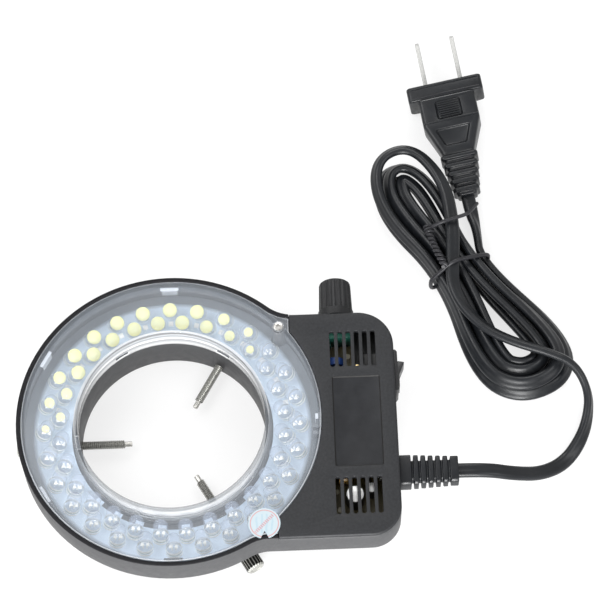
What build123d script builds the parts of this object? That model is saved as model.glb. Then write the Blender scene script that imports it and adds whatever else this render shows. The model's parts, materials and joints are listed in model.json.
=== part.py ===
from build123d import *
import math
import os

import numpy as np

# A ring light for a stereo microscope. Two staggered rows of tilted LEDs stand under a clear
# cover, a control box beside the ring holds the driver board, a dimmer and a rocker switch,
# and three thumbscrews in the collar under the ring clamp it round the microscope's head.
# Millimetres. The origin is on the ring's axis at the foot of the collar, +Z is the way the
# light shines in the photographed pose, +X points to the control box.

os.makedirs("parts", exist_ok=True)

# Driving dimensions of the whole light
BORE_R = 31.3
CHANNEL_W = 20.2
COLLAR_H = 11.5
BODY_H = 14.0
BOX_REACH = 23.5
BOX_TOP_IN = 15.3
BOX_LOW_IN = 8.1
RIM_W = 1.4
WALL_T = 1.6
FLOOR_T = 1.3
LID_T = 1.8
COVER_T = 1.5

# Plan of the moulded body: the ring, the box and the hollow corners between them
RING_R = BORE_R + CHANNEL_W
TOTAL_H = COLLAR_H + BODY_H
BOX_RIGHT_X = RING_R + BOX_REACH
BOX_TOP_Y = RING_R - BOX_TOP_IN
BOX_LOW_Y = RING_R - BOX_LOW_IN
BOX_ROOT_IN = 33.5
CORNER_TOP_R = 12.0
CORNER_LOW_R = 10.0
EAR_R = 14.0
EAR_TOP_OUT = 3.6
EAR_LOW_OUT = 6.7
EAR_TOP_X = math.sqrt(RING_R**2 - BOX_TOP_Y**2) + EAR_TOP_OUT
EAR_LOW_X = math.sqrt(RING_R**2 - BOX_LOW_Y**2) + EAR_LOW_OUT
CAVITY_IN = 7.5
BOTTOM_EDGE = 0.9

# Sides of the small pins, posts, screws and holes
PEG_SIDES = 12

# Fits
OVER = 1.0
FIT = 0.12
SEAM = 0.3
SHAFT_FIT = 0.05

# Heights
BODY_Z = COLLAR_H
FLOOR_Z = BODY_Z + FLOOR_T
SEAT_Z = TOTAL_H - LID_T
COVER_Z = TOTAL_H - COVER_T

# Collar and thumbscrews
COLLAR_W = 5.4
COLLAR_NECK_W = 2.0
COLLAR_CHAMFER = 0.9
SCREW_N = 3
SCREW_AZ = 60.0
SCREW_Z = 3.5
THREAD_R = 1.5
TIP_R = 0.9
TIP_L = 2.4
TIP_IN = 17.0
THREAD_L = 28.5
HEAD_R = 3.15
HEAD_L = 8.0
HEAD_CHAMFER = 0.5
KNURL_N = 18
KNURL_DEEP = 0.3

# Clear cover
COVER_WALL_T = 1.2
COVER_WALL_L = 10.0
SKIRT_T = 1.0
SKIRT_L = 5.0
LIP_R = 2.6
LIP_GROOVE_W = 0.5
LIP_GROOVE_DEEP = 0.35
COVER_EDGE = 0.4
CLIP_AZ = (0.0, 90.0, 150.0, 210.0, 270.0)
CLIP_W = 5.0
CLIP_H = 1.5
SLIT_AZ = 56.0
SLIT_N = 5
SLIT_STEP = 66.0

# The two screws that hold the clear cover, at its ears
EAR_TOP_IN = (3.6, 4.3)
EAR_LOW_IN = (4.5, 5.1)
EAR_SCREWS = (
    (EAR_TOP_X - EAR_TOP_IN[0], BOX_TOP_Y - EAR_TOP_IN[1]),
    (EAR_LOW_X - EAR_LOW_IN[0], EAR_LOW_IN[1] - BOX_LOW_Y),
)
EAR_POST_R = 2.2
EAR_HEAD_R = 1.6
EAR_HEAD_T = 1.0
EAR_SHANK_R = 0.8
EAR_SHANK_L = 6.0
EAR_SOCKET_R = 0.7

# Paper seal over the lower ear screw
SEAL_R = 5.25
SEAL_T = 0.15
SEAL_NOTCH_DEG = 40.0
SEAL_NOTCH_DEEP = 3.0

# LED board and LEDs
BOARD_T = 1.2
BOARD_LIFT = 0.6
BOARD_GAP = 0.5
LEDGE_W = 1.2
LED_N = 28
ROW_IN = 7.4
ROW_PITCH = 4.6
LED_ROWS = (
    ("leds_inner", BORE_R + ROW_IN, 0.5),
    ("leds_outer", BORE_R + ROW_IN + ROW_PITCH, 0.0),
)
LED_SIDES = 6
DOME_RISE, DOME_TIP = 0.78, 0.6
LED_R = 2.5
LED_H = 8.5
LED_TILT = 12.0
LED_STAND = 1.1
LEG_W = 3.0
LEG_T = 0.9

# Lid of the control box: slots, sunk panel and screw posts
SLOT_N = 6
SLOT_PITCH = 2.75
SLOT_W = 1.6
SLOT_L = 12.8
SLOT_CUT = 0.5
SLOT_IN = 13.7
SLOT_X = BOX_RIGHT_X - SLOT_IN
SLOT_TOP_IN = 13.3
SLOT_LOW_IN = 14.0
SLOT_TOP_Y = BOX_TOP_Y - SLOT_TOP_IN
SLOT_LOW_Y = SLOT_LOW_IN - BOX_LOW_Y
PANEL_W = 15.7
PANEL_GAP = 3.85
PANEL_IN = 13.1
PANEL_X = BOX_RIGHT_X - PANEL_IN
PANEL_DEEP = 0.45
PANEL_CUT = 0.3
LID_EDGE = 0.5
POST_IN = 4.6
POST_LEFT_IN = 27.2
POST_MIDDLE_Y = 2.6
LID_POSTS = (
    (BOX_RIGHT_X - POST_LEFT_IN, BOX_TOP_Y - POST_IN),
    (BOX_RIGHT_X - POST_IN, POST_MIDDLE_Y),
    (BOX_RIGHT_X - 2 * POST_IN, POST_IN - BOX_LOW_Y),
    (BOX_RIGHT_X - POST_LEFT_IN, POST_IN - BOX_LOW_Y),
)
POST_R = 2.5
BOSS_R = 3.2
BOSS_H = 3.4
CASE_HEAD_R = 2.1
CASE_HEAD_T = 1.2
CASE_HEAD_SUNK = 0.5
CASE_SHANK_R = 1.1
CASE_SHANK_L = 8.0
CASE_SOCKET_R = 0.8

# Dimmer: potentiometer, shaft and fluted knob
KNOB_IN = 18.7
CONTROL_UP = 6.9
KNOB_X = BOX_RIGHT_X - KNOB_IN
KNOB_Z = BODY_Z + CONTROL_UP
POT_W = 9.8
POT_H = 9.0
POT_D = 6.6
BUSH_R = 3.5
BUSH_NOSE = 0.4
SHAFT_R = 3.0
KNOB_R = 6.0
KNOB_TIP_R = 5.4
KNOB_L = 13.8
KNOB_GAP = 0.5
KNOB_FLUTES = 18
KNOB_FLUTE_DEEP = 0.35
KNOB_CHAMFER = 1.1
KNOB_WALL = 2.2
POT_PIN_W = 0.9
POT_PIN_T = 0.5
POT_PIN_PITCH = 2.5
POT_PIN_OUT = 1.1

# Rocker switch
SWITCH_IN = 20.9
SWITCH_Y = BOX_TOP_Y - SWITCH_IN
SWITCH_Z = BODY_Z + CONTROL_UP
BEZEL_L = 15.0
BEZEL_H = 10.2
BEZEL_T = 1.2
SWITCH_BODY_L = 13.2
SWITCH_BODY_H = 8.6
SWITCH_DEPTH = 11.0
ROCKER_HALF = 4.6
ROCKER_H = 6.2
ROCKER_END = 2.1
ROCKER_DIP = 1.2
ROCKER_SIDE = 0.2
ROCKER_BELLY = 3.6
ROCKER_DEG = 12.0
ROCKER_PIVOT_IN = 0.6
ROCKER_GAP = 0.5
PIVOT_R = 0.8
TERMINAL_W = 4.8
TERMINAL_T = 0.8
TERMINAL_L = 3.2
TERMINAL_PITCH = 6.4

# Driver board and what stands on it
PCB_W = 17.9
PCB_NECK_W = 7.8
PCB_GAP = 2.1
PCB_X = BOX_RIGHT_X - WALL_T - PCB_GAP - PCB_W
PCB_LOW_IN = 9.8
PCB_LOW_Y = PCB_LOW_IN - BOX_LOW_Y
PCB_STEP_IN = 37.0
PCB_STEP_Y = BOX_TOP_Y - PCB_STEP_IN
PCB_TOP_IN = 8.4
PCB_TOP_Y = BOX_TOP_Y - PCB_TOP_IN
PCB_T = 1.2
PCB_LIFT = 1.8
PEG_W = 3.0
PEG_IN = 2.0
PEG_NECK_IN = 19.2
CAP_AT, CAP_R, CAP_H = (6.6, 5.6), 3.2, 6.9
CAP_SLEEVE = 0.3
SMALL_CAP_AT, SMALL_CAP_R, SMALL_CAP_H = (12.2, 8.2), 2.0, 5.6
VARISTOR_AT, VARISTOR_R, VARISTOR_T = (2.0, 8.0), 2.9, 2.6
VARISTOR_LEG_W, VARISTOR_LEG_L, VARISTOR_LEG_PITCH = 0.6, 1.2, 3.6
CORE_AT, CORE_W, CORE_L, CORE_H = (8.6, 25.2), 12.6, 12.8, 7.0
COIL_W, COIL_SIDE = 7.6, 1.5
FILM_AT, FILM_W, FILM_L, FILM_H = (3.8, 14.2), 4.6, 6.4, 5.4
FILM_EDGE = 0.5

# Wires inside
WIRE_W = 1.1
WIRE_GAP_Y = -3.0
WIRE_GAP_W = 6.0
LED_WIRE_IN = 3.9
LED_WIRE_RISE = 3.6
LED_WIRE_PITCH = 2.4
LED_WIRE_END_IN = 1.3
MAINS_WIRE_PITCH = 2.6
MAINS_WIRE_RUN = 3.0
SWITCH_WIRE_RUN = 1.6

# Strain relief
BOOT_LOW_IN = 24.1
BOOT_UP = 6.1
BOOT_Y = BOOT_LOW_IN - BOX_LOW_Y
BOOT_Z = BODY_Z + BOOT_UP
BOOT_OUT = 19.6
BOOT_IN = 1.6
BOOT_CORE_W = 7.0
BOOT_CORE_H = 4.6
BOOT_ROOT_W = 10.6
BOOT_ROOT_H = 6.6
BOOT_ROOT_L = 3.9
BOOT_END_W = 9.2
BOOT_END_H = 5.8
BOOT_END_L = 2.7
BOOT_RIB_N = 5
BOOT_RIB_L = 1.6
BOOT_CUT = 0.8
BOOT_LIP = 1.0

# Mains cord, drawn as a round tube of the flat cord's section
CORD_D = 4.0
CORD_SIDES = 6
ARC_SHARE = 0.45
WAIST_X, WAIST_Y = 98.6, 58.8
HANK_TURN_DEG = 24.4
HANK_HALF_L = 50.5
LOW_HALF_W = 16.6
UP_HALF_W = 13.2
WAIST_HALF_W = 10.5
LOOP_PITCH = 4.62
WAIST_LIFT = 2.0
SIDE_W_SHARE, SIDE_L_SHARE, TIP_W_SHARE = 1.1, 0.62, 0.62
SIDE_STEP_SHARE, TIP_STEP_SHARE, TIP_L_STEP_SHARE = 1.06, 0.68, 1.02
INNER_BUMP_SHARE = 0.3
FIRST_OUT_SHARE = 0.14
TIE_LEVEL = 2
LOOP_CORNERS = 10
IN_TURNS = 2.0
OUT_FROM = 2.5
LAST_CORNER = 48
CLIMB_CORNER = 47
LEAD_OUT = 6.0
LEAD_IN_UV = (14.9, 11.6)
TOP_SIDE_UV = (12.0, 32.0)
JOIN_RUN = 14.0

# Twist tie round the waist, its tail and free end given from the top of its loop
TIE_R = 0.6
TIE_SIDES = 6
TIE_GAP = 0.35
TIE_SPREAD = 1.3
TIE_PEAK_U = -1.25
TIE_PEAK_UP = 0.3
TIE_SHOULDER_UP = 1.5
TAIL_R = 1.1
TAIL_BEND_R = 6.0
TAIL_ROUTE = ((-4.2, 0.0, -1.3), (-4.1, 5.6, -1.4), (-2.2, 17.2, -3.6))
END_BEND_R = 3.0
END_ROUTE = ((-2.4, 16.2, -3.4), (1.2, 15.0, 0.4), (11.4, 13.6, 0.3), (17.6, 17.4, -3.4))

# Plug, resting on one edge of its flange and on the end of its neck
PLUG_X, PLUG_Y = 98.9, 131.2
PLUG_TURN_DEG = 8.4
PLUG_PITCH_DEG = 6.0
PLUG_ROLL_DEG = -8.0
PLUG_FLANGE_W = 27.0
PLUG_FLANGE_H = 12.4
PLUG_FLANGE_L = 5.6
PLUG_BODY_W = 20.4
PLUG_BODY_H = 11.2
PLUG_SHOULDER_L = 15.5
PLUG_NECK_W = 12.2
PLUG_NECK_H = 8.6
PLUG_NECK_L = 26.0
PLUG_END_W = 7.0
PLUG_END_H = 6.4
PLUG_L = 43.0
PLUG_CUT = 0.9
PLUG_RIB_N = 5
PLUG_RIB_L = 1.7
PLUG_RIB_PROUD = 0.8
PLUG_PANEL_W = 8.6
PLUG_PANEL_L = 6.4
PLUG_PANEL_DEEP = 0.4
BLADE_PITCH = 12.7
BLADE_W = 6.3
BLADE_T = 1.5
BLADE_L = 18.0
BLADE_EDGE = 1.2

# Free stretch of the cord, from the strain relief to the waist of the hank, chosen by hand
FREE_ROUTE = (
    (94.6, -19.3, 17.6),
    (104.0, -19.3, 17.6),
    (113.6, -19.2, 12.6),
    (123.0, -17.0, 5.6),
    (131.4, -12.2, 2.2),
    (137.2, -5.2, 2.1),
    (140.8, 3.2, 2.2),
    (141.6, 12.0, 6.0),
    (137.0, 20.4, 11.3),
    (128.0, 25.2, 11.4),
    (117.8, 28.8, 11.3),
    (108.0, 34.0, 11.4),
    (100.8, 41.8, 11.9),
    (97.0, 50.8, 12.8),
    (97.6, 60.4, 13.3),
)

# Heights and places that follow from the sizes above
BOARD_Z = FLOOR_Z + BOARD_LIFT
BOARD_TOP_Z = BOARD_Z + BOARD_T
PCB_Z = FLOOR_Z + PCB_LIFT
PCB_TOP_Z = PCB_Z + PCB_T
PCB_RIGHT_X = PCB_X + PCB_W
PCB_NECK_X = PCB_X + PCB_NECK_W
PCB_PEGS = (
    (PCB_X + PEG_IN, PCB_LOW_Y + PEG_IN),
    (PCB_RIGHT_X - PEG_IN, PCB_LOW_Y + PEG_IN),
    (PCB_RIGHT_X - PEG_IN, PCB_STEP_Y - PEG_IN),
    (PCB_X + PEG_IN, PCB_TOP_Y - PEG_NECK_IN),
)
TIP_AT_R = BORE_R - TIP_IN
CASE_HEAD_Z = BODY_Z + CASE_HEAD_SUNK
CASE_TIP_Z = CASE_HEAD_Z + CASE_HEAD_T + CASE_SHANK_L
PIVOT_X = BOX_RIGHT_X + ROCKER_PIVOT_IN

# A tooth of a knurl or flute: how far round it stands, and whether it is cut back there
TOOTH_SHARES = ((0.0, 0), (0.5, 1))


def box(x0, x1, y0, y1, z0, z1):
    """A block between two corners."""
    centre = Pos((x0 + x1) / 2, (y0 + y1) / 2, (z0 + z1) / 2)
    return centre * Box(abs(x1 - x0), abs(y1 - y0), abs(z1 - z0))


def disc(r, z0, z1, x=0.0, y=0.0):
    """An upright cylinder between two heights."""
    return Pos(x, y, (z0 + z1) / 2) * Cylinder(r, z1 - z0)


def peg(r, z0, z1, x=0.0, y=0.0, sides=PEG_SIDES):
    """A small upright pin or hole, drawn with flat sides to keep its facets few."""
    return slab(Pos(x, y) * RegularPolygon(r, sides), z0, z1)


def annulus(r0, r1, z0, z1):
    return disc(r1, z0, z1) - disc(r0, z0 - OVER, z1 + OVER)


def along(direction, r, start, length, x=0.0, y=0.0, z=0.0, sides=0):
    """A round or flat-sided bar that lies along +X or +Y from a start on that axis."""
    if sides:
        bar = Pos(0, 0, -length / 2) * extrude(RegularPolygon(r, sides), length)
    else:
        bar = Cylinder(r, length)
    if direction == "x":
        return Pos(start + length / 2, y, z) * Rot(0, 90, 0) * bar
    return Pos(x, start + length / 2, z) * Rot(90, 0, 0) * bar


def slab(sketch, z0, z1):
    """A sketch in plan, raised between two heights."""
    return extrude(Pos(0, 0, z0) * sketch, amount=z1 - z0)


def rectangle(x0, x1, y0, y1):
    return Pos((x0 + x1) / 2, (y0 + y1) / 2) * Rectangle(x1 - x0, y1 - y0)


def nearest(sketch, x, y):
    return min(sketch.vertices(), key=lambda v: math.hypot(v.X - x, v.Y - y))


def body_plan(inset=0.0):
    """The body seen from above: ring and box, rounded outside and hollow at the ears."""
    r = RING_R - inset
    x1, y1, y0 = BOX_RIGHT_X - inset, BOX_TOP_Y - inset, -(BOX_LOW_Y - inset)
    plan = Circle(r) + rectangle(RING_R - BOX_ROOT_IN, x1, y0, y1)
    plan = fillet(nearest(plan, x1, y1), CORNER_TOP_R - inset)
    plan = fillet(nearest(plan, x1, y0), CORNER_LOW_R - inset)
    plan = fillet(nearest(plan, math.sqrt(r**2 - y1**2), y1), EAR_R + inset)
    return fillet(nearest(plan, math.sqrt(r**2 - y0**2), y0), EAR_R + inset)


def ear_side(gap=0.0):
    """The part of the plan on the ring's side of the seam with the lid."""
    reach = RING_R + OVER
    top = rectangle(-reach, EAR_TOP_X - gap, 0, reach)
    low = rectangle(-reach, EAR_LOW_X - gap, -reach, 0)
    return top + low


def lid_plan(gap):
    """The lid: the body's plan beyond the cover's edge and the two seams."""
    return body_plan() - Circle(RING_R - RIM_W + gap) - ear_side(-gap)


def housing():
    """Ring channel, box tray and collar in one moulding."""
    body = slab(body_plan(), BODY_Z, TOTAL_H)
    body = chamfer(body.faces().sort_by(Axis.Z)[0].outer_wire().edges(), BOTTOM_EDGE)
    neck_r = BORE_R + COLLAR_NECK_W
    neck_z = TOTAL_H - COVER_WALL_L
    channel = annulus(neck_r, RING_R - RIM_W, FLOOR_Z, TOTAL_H + OVER)
    mouth = disc(neck_r + OVER, neck_z, TOTAL_H + OVER)
    solid_x = RING_R - CAVITY_IN
    tray = body_plan(WALL_T) - Circle(RING_R) - rectangle(0, solid_x, -BOX_LOW_Y, BOX_TOP_Y)
    body = body - channel - mouth - slab(tray, FLOOR_Z, TOTAL_H + OVER)
    body -= slab(body_plan(-OVER) - Circle(RING_R - RIM_W) - ear_side(), SEAT_Z, TOTAL_H + OVER)
    body -= slab(body_plan(RIM_W) & ear_side(-OVER), COVER_Z, TOTAL_H + OVER)
    collar = disc(BORE_R + COLLAR_W, 0, BODY_Z + FLOOR_T / 2)
    collar = chamfer(collar.edges().group_by(Axis.Z)[0], COLLAR_CHAMFER)
    body += collar
    body -= disc(BORE_R, -OVER, TOTAL_H + OVER)
    flare = Pos(0, 0, COLLAR_CHAMFER / 2) * Cone(BORE_R + COLLAR_CHAMFER, BORE_R, COLLAR_CHAMFER)
    body -= flare
    # ledges that carry the LED board, and posts at the ears
    body += annulus(neck_r - FIT, neck_r + LEDGE_W, FLOOR_Z - FLOOR_T / 2, FLOOR_Z + BOARD_LIFT)
    outer = RING_R - RIM_W
    body += annulus(outer - LEDGE_W, outer + FIT, FLOOR_Z - FLOOR_T / 2, FLOOR_Z + BOARD_LIFT)
    for x, y in EAR_SCREWS:
        body += peg(EAR_POST_R, FLOOR_Z - FLOOR_T / 2, COVER_Z, x, y) & disc(
            RING_R, 0, TOTAL_H
        )
        body -= peg(EAR_SHANK_R + SHAFT_FIT, COVER_Z - EAR_SHANK_L, TOTAL_H, x, y)
    # screw bosses under the lid's posts, sunk from below
    for x, y in LID_POSTS:
        body += peg(BOSS_R, FLOOR_Z - FLOOR_T / 2, BODY_Z + BOSS_H, x, y)
        body -= peg(CASE_SHANK_R + FIT, BODY_Z - OVER, BODY_Z + BOSS_H + OVER, x, y)
        sink = BODY_Z + CASE_HEAD_SUNK + CASE_HEAD_T
        body -= peg(CASE_HEAD_R + FIT, BODY_Z - OVER, sink, x, y)
    for x, y in PCB_PEGS:
        body += Pos(x, y, FLOOR_Z + (PCB_LIFT - FLOOR_T / 2) / 2) * Box(
            PEG_W, PEG_W, PCB_LIFT + FLOOR_T / 2
        )
    # holes: thumbscrews, dimmer bush, rocker switch, strain relief, LED wires
    for k in range(SCREW_N):
        hole = along(
            "x",
            THREAD_R + SHAFT_FIT,
            BORE_R - OVER,
            COLLAR_W + 2 * OVER,
            z=SCREW_Z,
            sides=PEG_SIDES,
        )
        body -= Rot(0, 0, SCREW_AZ + k * 360 / SCREW_N) * hole
    body -= along(
        "y", BUSH_R + FIT, BOX_TOP_Y - WALL_T - OVER, WALL_T + 2 * OVER, x=KNOB_X, z=KNOB_Z
    )
    half_l, half_h = SWITCH_BODY_L / 2 + FIT, SWITCH_BODY_H / 2 + FIT
    wall = (BOX_RIGHT_X - WALL_T - OVER, BOX_RIGHT_X + OVER)
    body -= box(
        *wall, SWITCH_Y - half_l, SWITCH_Y + half_l, SWITCH_Z - half_h, SWITCH_Z + half_h
    )
    grip_w, grip_h = BOOT_CORE_W / 2 + FIT, BOOT_CORE_H / 2 + FIT
    body -= box(*wall, BOOT_Y - grip_w, BOOT_Y + grip_w, BOOT_Z - grip_h, BOOT_Z + grip_h)
    gap = WIRE_GAP_W / 2
    gate = (RING_R - RIM_W - OVER, RING_R + OVER)
    body -= box(*gate, WIRE_GAP_Y - gap, WIRE_GAP_Y + gap, BOARD_TOP_Z, TOTAL_H)
    return body


def clear_cover():
    """The clear cover: a plate with two ears, a long inner wall, a short skirt and clip windows."""
    r = RING_R - RIM_W - FIT
    plan = (body_plan(RIM_W + FIT) & ear_side(FIT)) + Circle(r)
    cover = slab(plan - Circle(BORE_R), COVER_Z, TOTAL_H)
    cover = chamfer(cover.edges().group_by(Axis.Z)[-1], COVER_EDGE)
    wall_r = BORE_R + COVER_WALL_T
    cover += annulus(BORE_R, wall_r, TOTAL_H - COVER_WALL_L, COVER_Z + COVER_T / 2)
    cover += annulus(r - SKIRT_T, r, COVER_Z - SKIRT_L, COVER_Z + COVER_T / 2)
    lip = BORE_R + LIP_R
    cover -= annulus(lip, lip + LIP_GROOVE_W, TOTAL_H - LIP_GROOVE_DEEP, TOTAL_H + OVER)
    low = COVER_Z - SKIRT_L
    for az in CLIP_AZ:
        window = box(
            r - SKIRT_T - OVER, r + OVER, -CLIP_W / 2, CLIP_W / 2, low + CLIP_H, low + 2 * CLIP_H
        )
        cover -= Rot(0, 0, az) * window
    slit_z = TOTAL_H - COVER_WALL_L + CLIP_H
    for k in range(SLIT_N):
        slit = box(BORE_R - OVER, wall_r + OVER, -CLIP_W / 2, CLIP_W / 2, slit_z, slit_z + CLIP_H)
        cover -= Rot(0, 0, SLIT_AZ + k * SLIT_STEP) * slit
    for x, y in EAR_SCREWS:
        # the skirt stops short of the posts
        cover -= peg(EAR_POST_R + SEAM, low - OVER, COVER_Z, x, y)
        cover -= peg(EAR_SHANK_R + FIT, COVER_Z - OVER, TOTAL_H + OVER, x, y)
        cover -= peg(EAR_HEAD_R + FIT, TOTAL_H - EAR_HEAD_T, TOTAL_H + OVER, x, y)
    return cover


def ear_screws():
    """Two small socket screws, flush with the clear cover."""
    screws = []
    for x, y in EAR_SCREWS:
        head_z = TOTAL_H - EAR_HEAD_T
        screw = peg(EAR_HEAD_R, head_z, TOTAL_H, x, y)
        screw += peg(EAR_SHANK_R, COVER_Z - EAR_SHANK_L + SEAM, head_z, x, y)
        socket = Pos(x, y, TOTAL_H - EAR_HEAD_T / 2) * RegularPolygon(EAR_SOCKET_R, 6)
        screws.append(screw - extrude(socket, EAR_HEAD_T))
    return Compound(children=screws)


def paper_seal():
    """A round paper seal with a nick in its edge, stuck over the lower ear screw."""
    x, y = EAR_SCREWS[1]
    half = SEAL_NOTCH_DEEP * math.tan(math.radians(SEAL_NOTCH_DEG / 2))
    nick = Polygon((-half, -SEAL_R), (half, -SEAL_R), (0, SEAL_NOTCH_DEEP - SEAL_R), align=None)
    seal = RegularPolygon(SEAL_R, 2 * PEG_SIDES) - nick
    return slab(Pos(x, y) * seal, TOTAL_H, TOTAL_H + SEAL_T)


def led_board():
    """The ring-shaped board that carries the LEDs, notched round the two ear posts."""
    board = annulus(
        BORE_R + COLLAR_NECK_W + BOARD_GAP, RING_R - RIM_W - BOARD_GAP, BOARD_Z, BOARD_TOP_Z
    )
    for x, y in EAR_SCREWS:
        board -= peg(EAR_POST_R + BOARD_GAP, BOARD_Z - OVER, BOARD_TOP_Z + OVER, x, y)
    return board


def led(row_r):
    """One LED at azimuth 0, tilted towards the axis, its legs cut off at the board."""
    z = LED_H - LED_R
    outline = RegularPolygon(LED_R, LED_SIDES)
    taper = math.degrees(math.atan((1 - DOME_TIP) / DOME_RISE))
    lens = extrude(outline, z)
    lens += Pos(0, 0, z) * extrude(outline, DOME_RISE * LED_R, taper=taper)
    lens += box(-LEG_T / 2, LEG_T / 2, -LEG_W / 2, LEG_W / 2, -LED_H, LED_STAND)
    lens = Pos(row_r, 0, BOARD_TOP_Z + LED_STAND) * Rot(0, -LED_TILT, 0) * lens
    reach = row_r + LED_H
    return lens - box(0, reach, -LED_H, LED_H, BOARD_TOP_Z - 2 * LED_H, BOARD_TOP_Z)


def led_row(row_r, phase):
    one = led(row_r)
    step = 360 / LED_N
    return Compound(children=[Rot(0, 0, (k + phase) * step) * one for k in range(LED_N)])


def box_lid():
    """The lid of the control box: two groups of slots, a sunk panel and four screw posts."""
    lid = slab(lid_plan(FIT), SEAT_Z, TOTAL_H)
    rim = [e for e in lid.edges().group_by(Axis.Z)[-1] if e.center().X > PCB_X]
    lid = chamfer(rim, LID_EDGE)
    for y in (SLOT_TOP_Y, SLOT_LOW_Y):
        for k in range(SLOT_N):
            x = SLOT_X + (k - (SLOT_N - 1) / 2) * SLOT_PITCH
            slot = Pos(x, y) * blunted(SLOT_W, SLOT_L, SLOT_CUT)
            lid -= slab(slot, SEAT_Z - OVER, TOTAL_H + OVER)
    half_slot = SLOT_L / 2 + PANEL_GAP
    low, high = SLOT_LOW_Y + half_slot, SLOT_TOP_Y - half_slot
    panel = Pos(PANEL_X, (low + high) / 2) * blunted(PANEL_W, high - low, PANEL_CUT)
    lid -= slab(panel, TOTAL_H - PANEL_DEEP, TOTAL_H + OVER)
    for x, y in LID_POSTS:
        lid += peg(POST_R, BODY_Z + BOSS_H, SEAT_Z + LID_T / 2, x, y)
        lid -= peg(CASE_SHANK_R + SHAFT_FIT, BODY_Z, CASE_TIP_Z + SEAM, x, y)
    return lid


def case_screws():
    """Four screws from below that draw the lid down on the tray."""
    screws = []
    for x, y in LID_POSTS:
        seat = CASE_HEAD_Z + CASE_HEAD_T
        screw = peg(CASE_HEAD_R, CASE_HEAD_Z, seat, x, y)
        screw += peg(CASE_SHANK_R, seat, CASE_TIP_Z, x, y)
        socket = Pos(x, y, CASE_HEAD_Z) * RegularPolygon(CASE_SOCKET_R, 6)
        screws.append(screw - extrude(socket, CASE_HEAD_T / 2))
    return Compound(children=screws)


def toothed(r, deep, n, z):
    """A round outline with n shallow teeth, at a height."""
    points = []
    for k in range(n):
        for share, cut in TOOTH_SHARES:
            a = 2 * math.pi * (k + share) / n
            points.append(((r - cut * deep) * math.cos(a), (r - cut * deep) * math.sin(a)))
    return Pos(0, 0, z) * Polygon(*points, align=None)


def toothed_head(r, end_r, length, bevel, deep, n):
    """A toothed head from its root up, tapered to its end radius and bevelled there."""
    side = length - bevel
    body = loft([toothed(r, deep, n, 0), toothed(end_r, deep, n, side)], ruled=True)
    return body + loft(
        [toothed(end_r, deep, n, side), toothed(end_r - bevel, deep, n, length)], ruled=True
    )


def blunted(w, h, cut):
    """A rectangle with its corners cut off."""
    return chamfer(Rectangle(w, h).vertices(), cut)


def thumbscrew(az):
    """A thumbscrew with a dog point and a knurled head, its tip towards the axis."""
    root = TIP_AT_R + TIP_L
    screw = along("x", TIP_R, TIP_AT_R, TIP_L + THREAD_L / 2, z=SCREW_Z, sides=PEG_SIDES)
    screw += along("x", THREAD_R, root, THREAD_L, z=SCREW_Z, sides=PEG_SIDES)
    head = toothed_head(HEAD_R, HEAD_R, HEAD_L, HEAD_CHAMFER, KNURL_DEEP, KNURL_N)
    screw += Pos(root + THREAD_L, 0, SCREW_Z) * Rot(0, 90, 0) * head
    return Rot(0, 0, az) * screw


def potentiometer():
    """The dimmer's body inside the box wall, its bush through the wall and its three pins."""
    face = BOX_TOP_Y - WALL_T
    body = box(
        KNOB_X - POT_W / 2,
        KNOB_X + POT_W / 2,
        face - POT_D,
        face,
        KNOB_Z - POT_H / 2,
        KNOB_Z + POT_H / 2,
    )
    body += along("y", BUSH_R, face - POT_D / 2, POT_D / 2 + WALL_T + BUSH_NOSE, x=KNOB_X, z=KNOB_Z)
    back = face - POT_D
    for k in (-1, 0, 1):
        x = KNOB_X + k * POT_PIN_PITCH
        sides = (x - POT_PIN_W / 2, x + POT_PIN_W / 2)
        knee = back - POT_PIN_OUT
        body += box(*sides, knee, back + POT_PIN_T, KNOB_Z - POT_PIN_T, KNOB_Z)
        body += box(*sides, knee, knee + POT_PIN_T, PCB_TOP_Z, KNOB_Z)
    bore = along(
        "y", SHAFT_R + SHAFT_FIT, face - POT_D / 2, POT_D + WALL_T + OVER, x=KNOB_X, z=KNOB_Z
    )
    return body - bore


def dial_shaft():
    """The dimmer's shaft, flattened on one side where the knob grips it."""
    face = BOX_TOP_Y - WALL_T
    start = face - POT_D / 2 + SEAM
    length = BOX_TOP_Y + KNOB_GAP + KNOB_L - KNOB_WALL - start
    shaft = along("y", SHAFT_R, start, length, x=KNOB_X, z=KNOB_Z)
    flat_y = BOX_TOP_Y + KNOB_GAP
    flat = box(
        KNOB_X - SHAFT_R,
        KNOB_X + SHAFT_R,
        flat_y,
        flat_y + KNOB_L,
        KNOB_Z + SHAFT_R / 2,
        KNOB_Z + SHAFT_R,
    )
    return shaft - flat


def brightness_knob():
    """A slightly tapered knob with flutes and a bevelled end."""
    knob = toothed_head(
        KNOB_R, KNOB_TIP_R, KNOB_L, KNOB_CHAMFER, KNOB_FLUTE_DEEP, KNOB_FLUTES
    )
    bore = Pos(0, 0, (KNOB_L - KNOB_WALL) / 2) * Cylinder(SHAFT_R, KNOB_L - KNOB_WALL)
    bore -= Pos(0, SHAFT_R, KNOB_L / 2) * Box(2 * SHAFT_R, SHAFT_R, KNOB_L)
    knob -= bore
    return Pos(KNOB_X, BOX_TOP_Y + KNOB_GAP, KNOB_Z) * Rot(-90, 0, 0) * Rot(0, 0, 180) * knob


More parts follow.
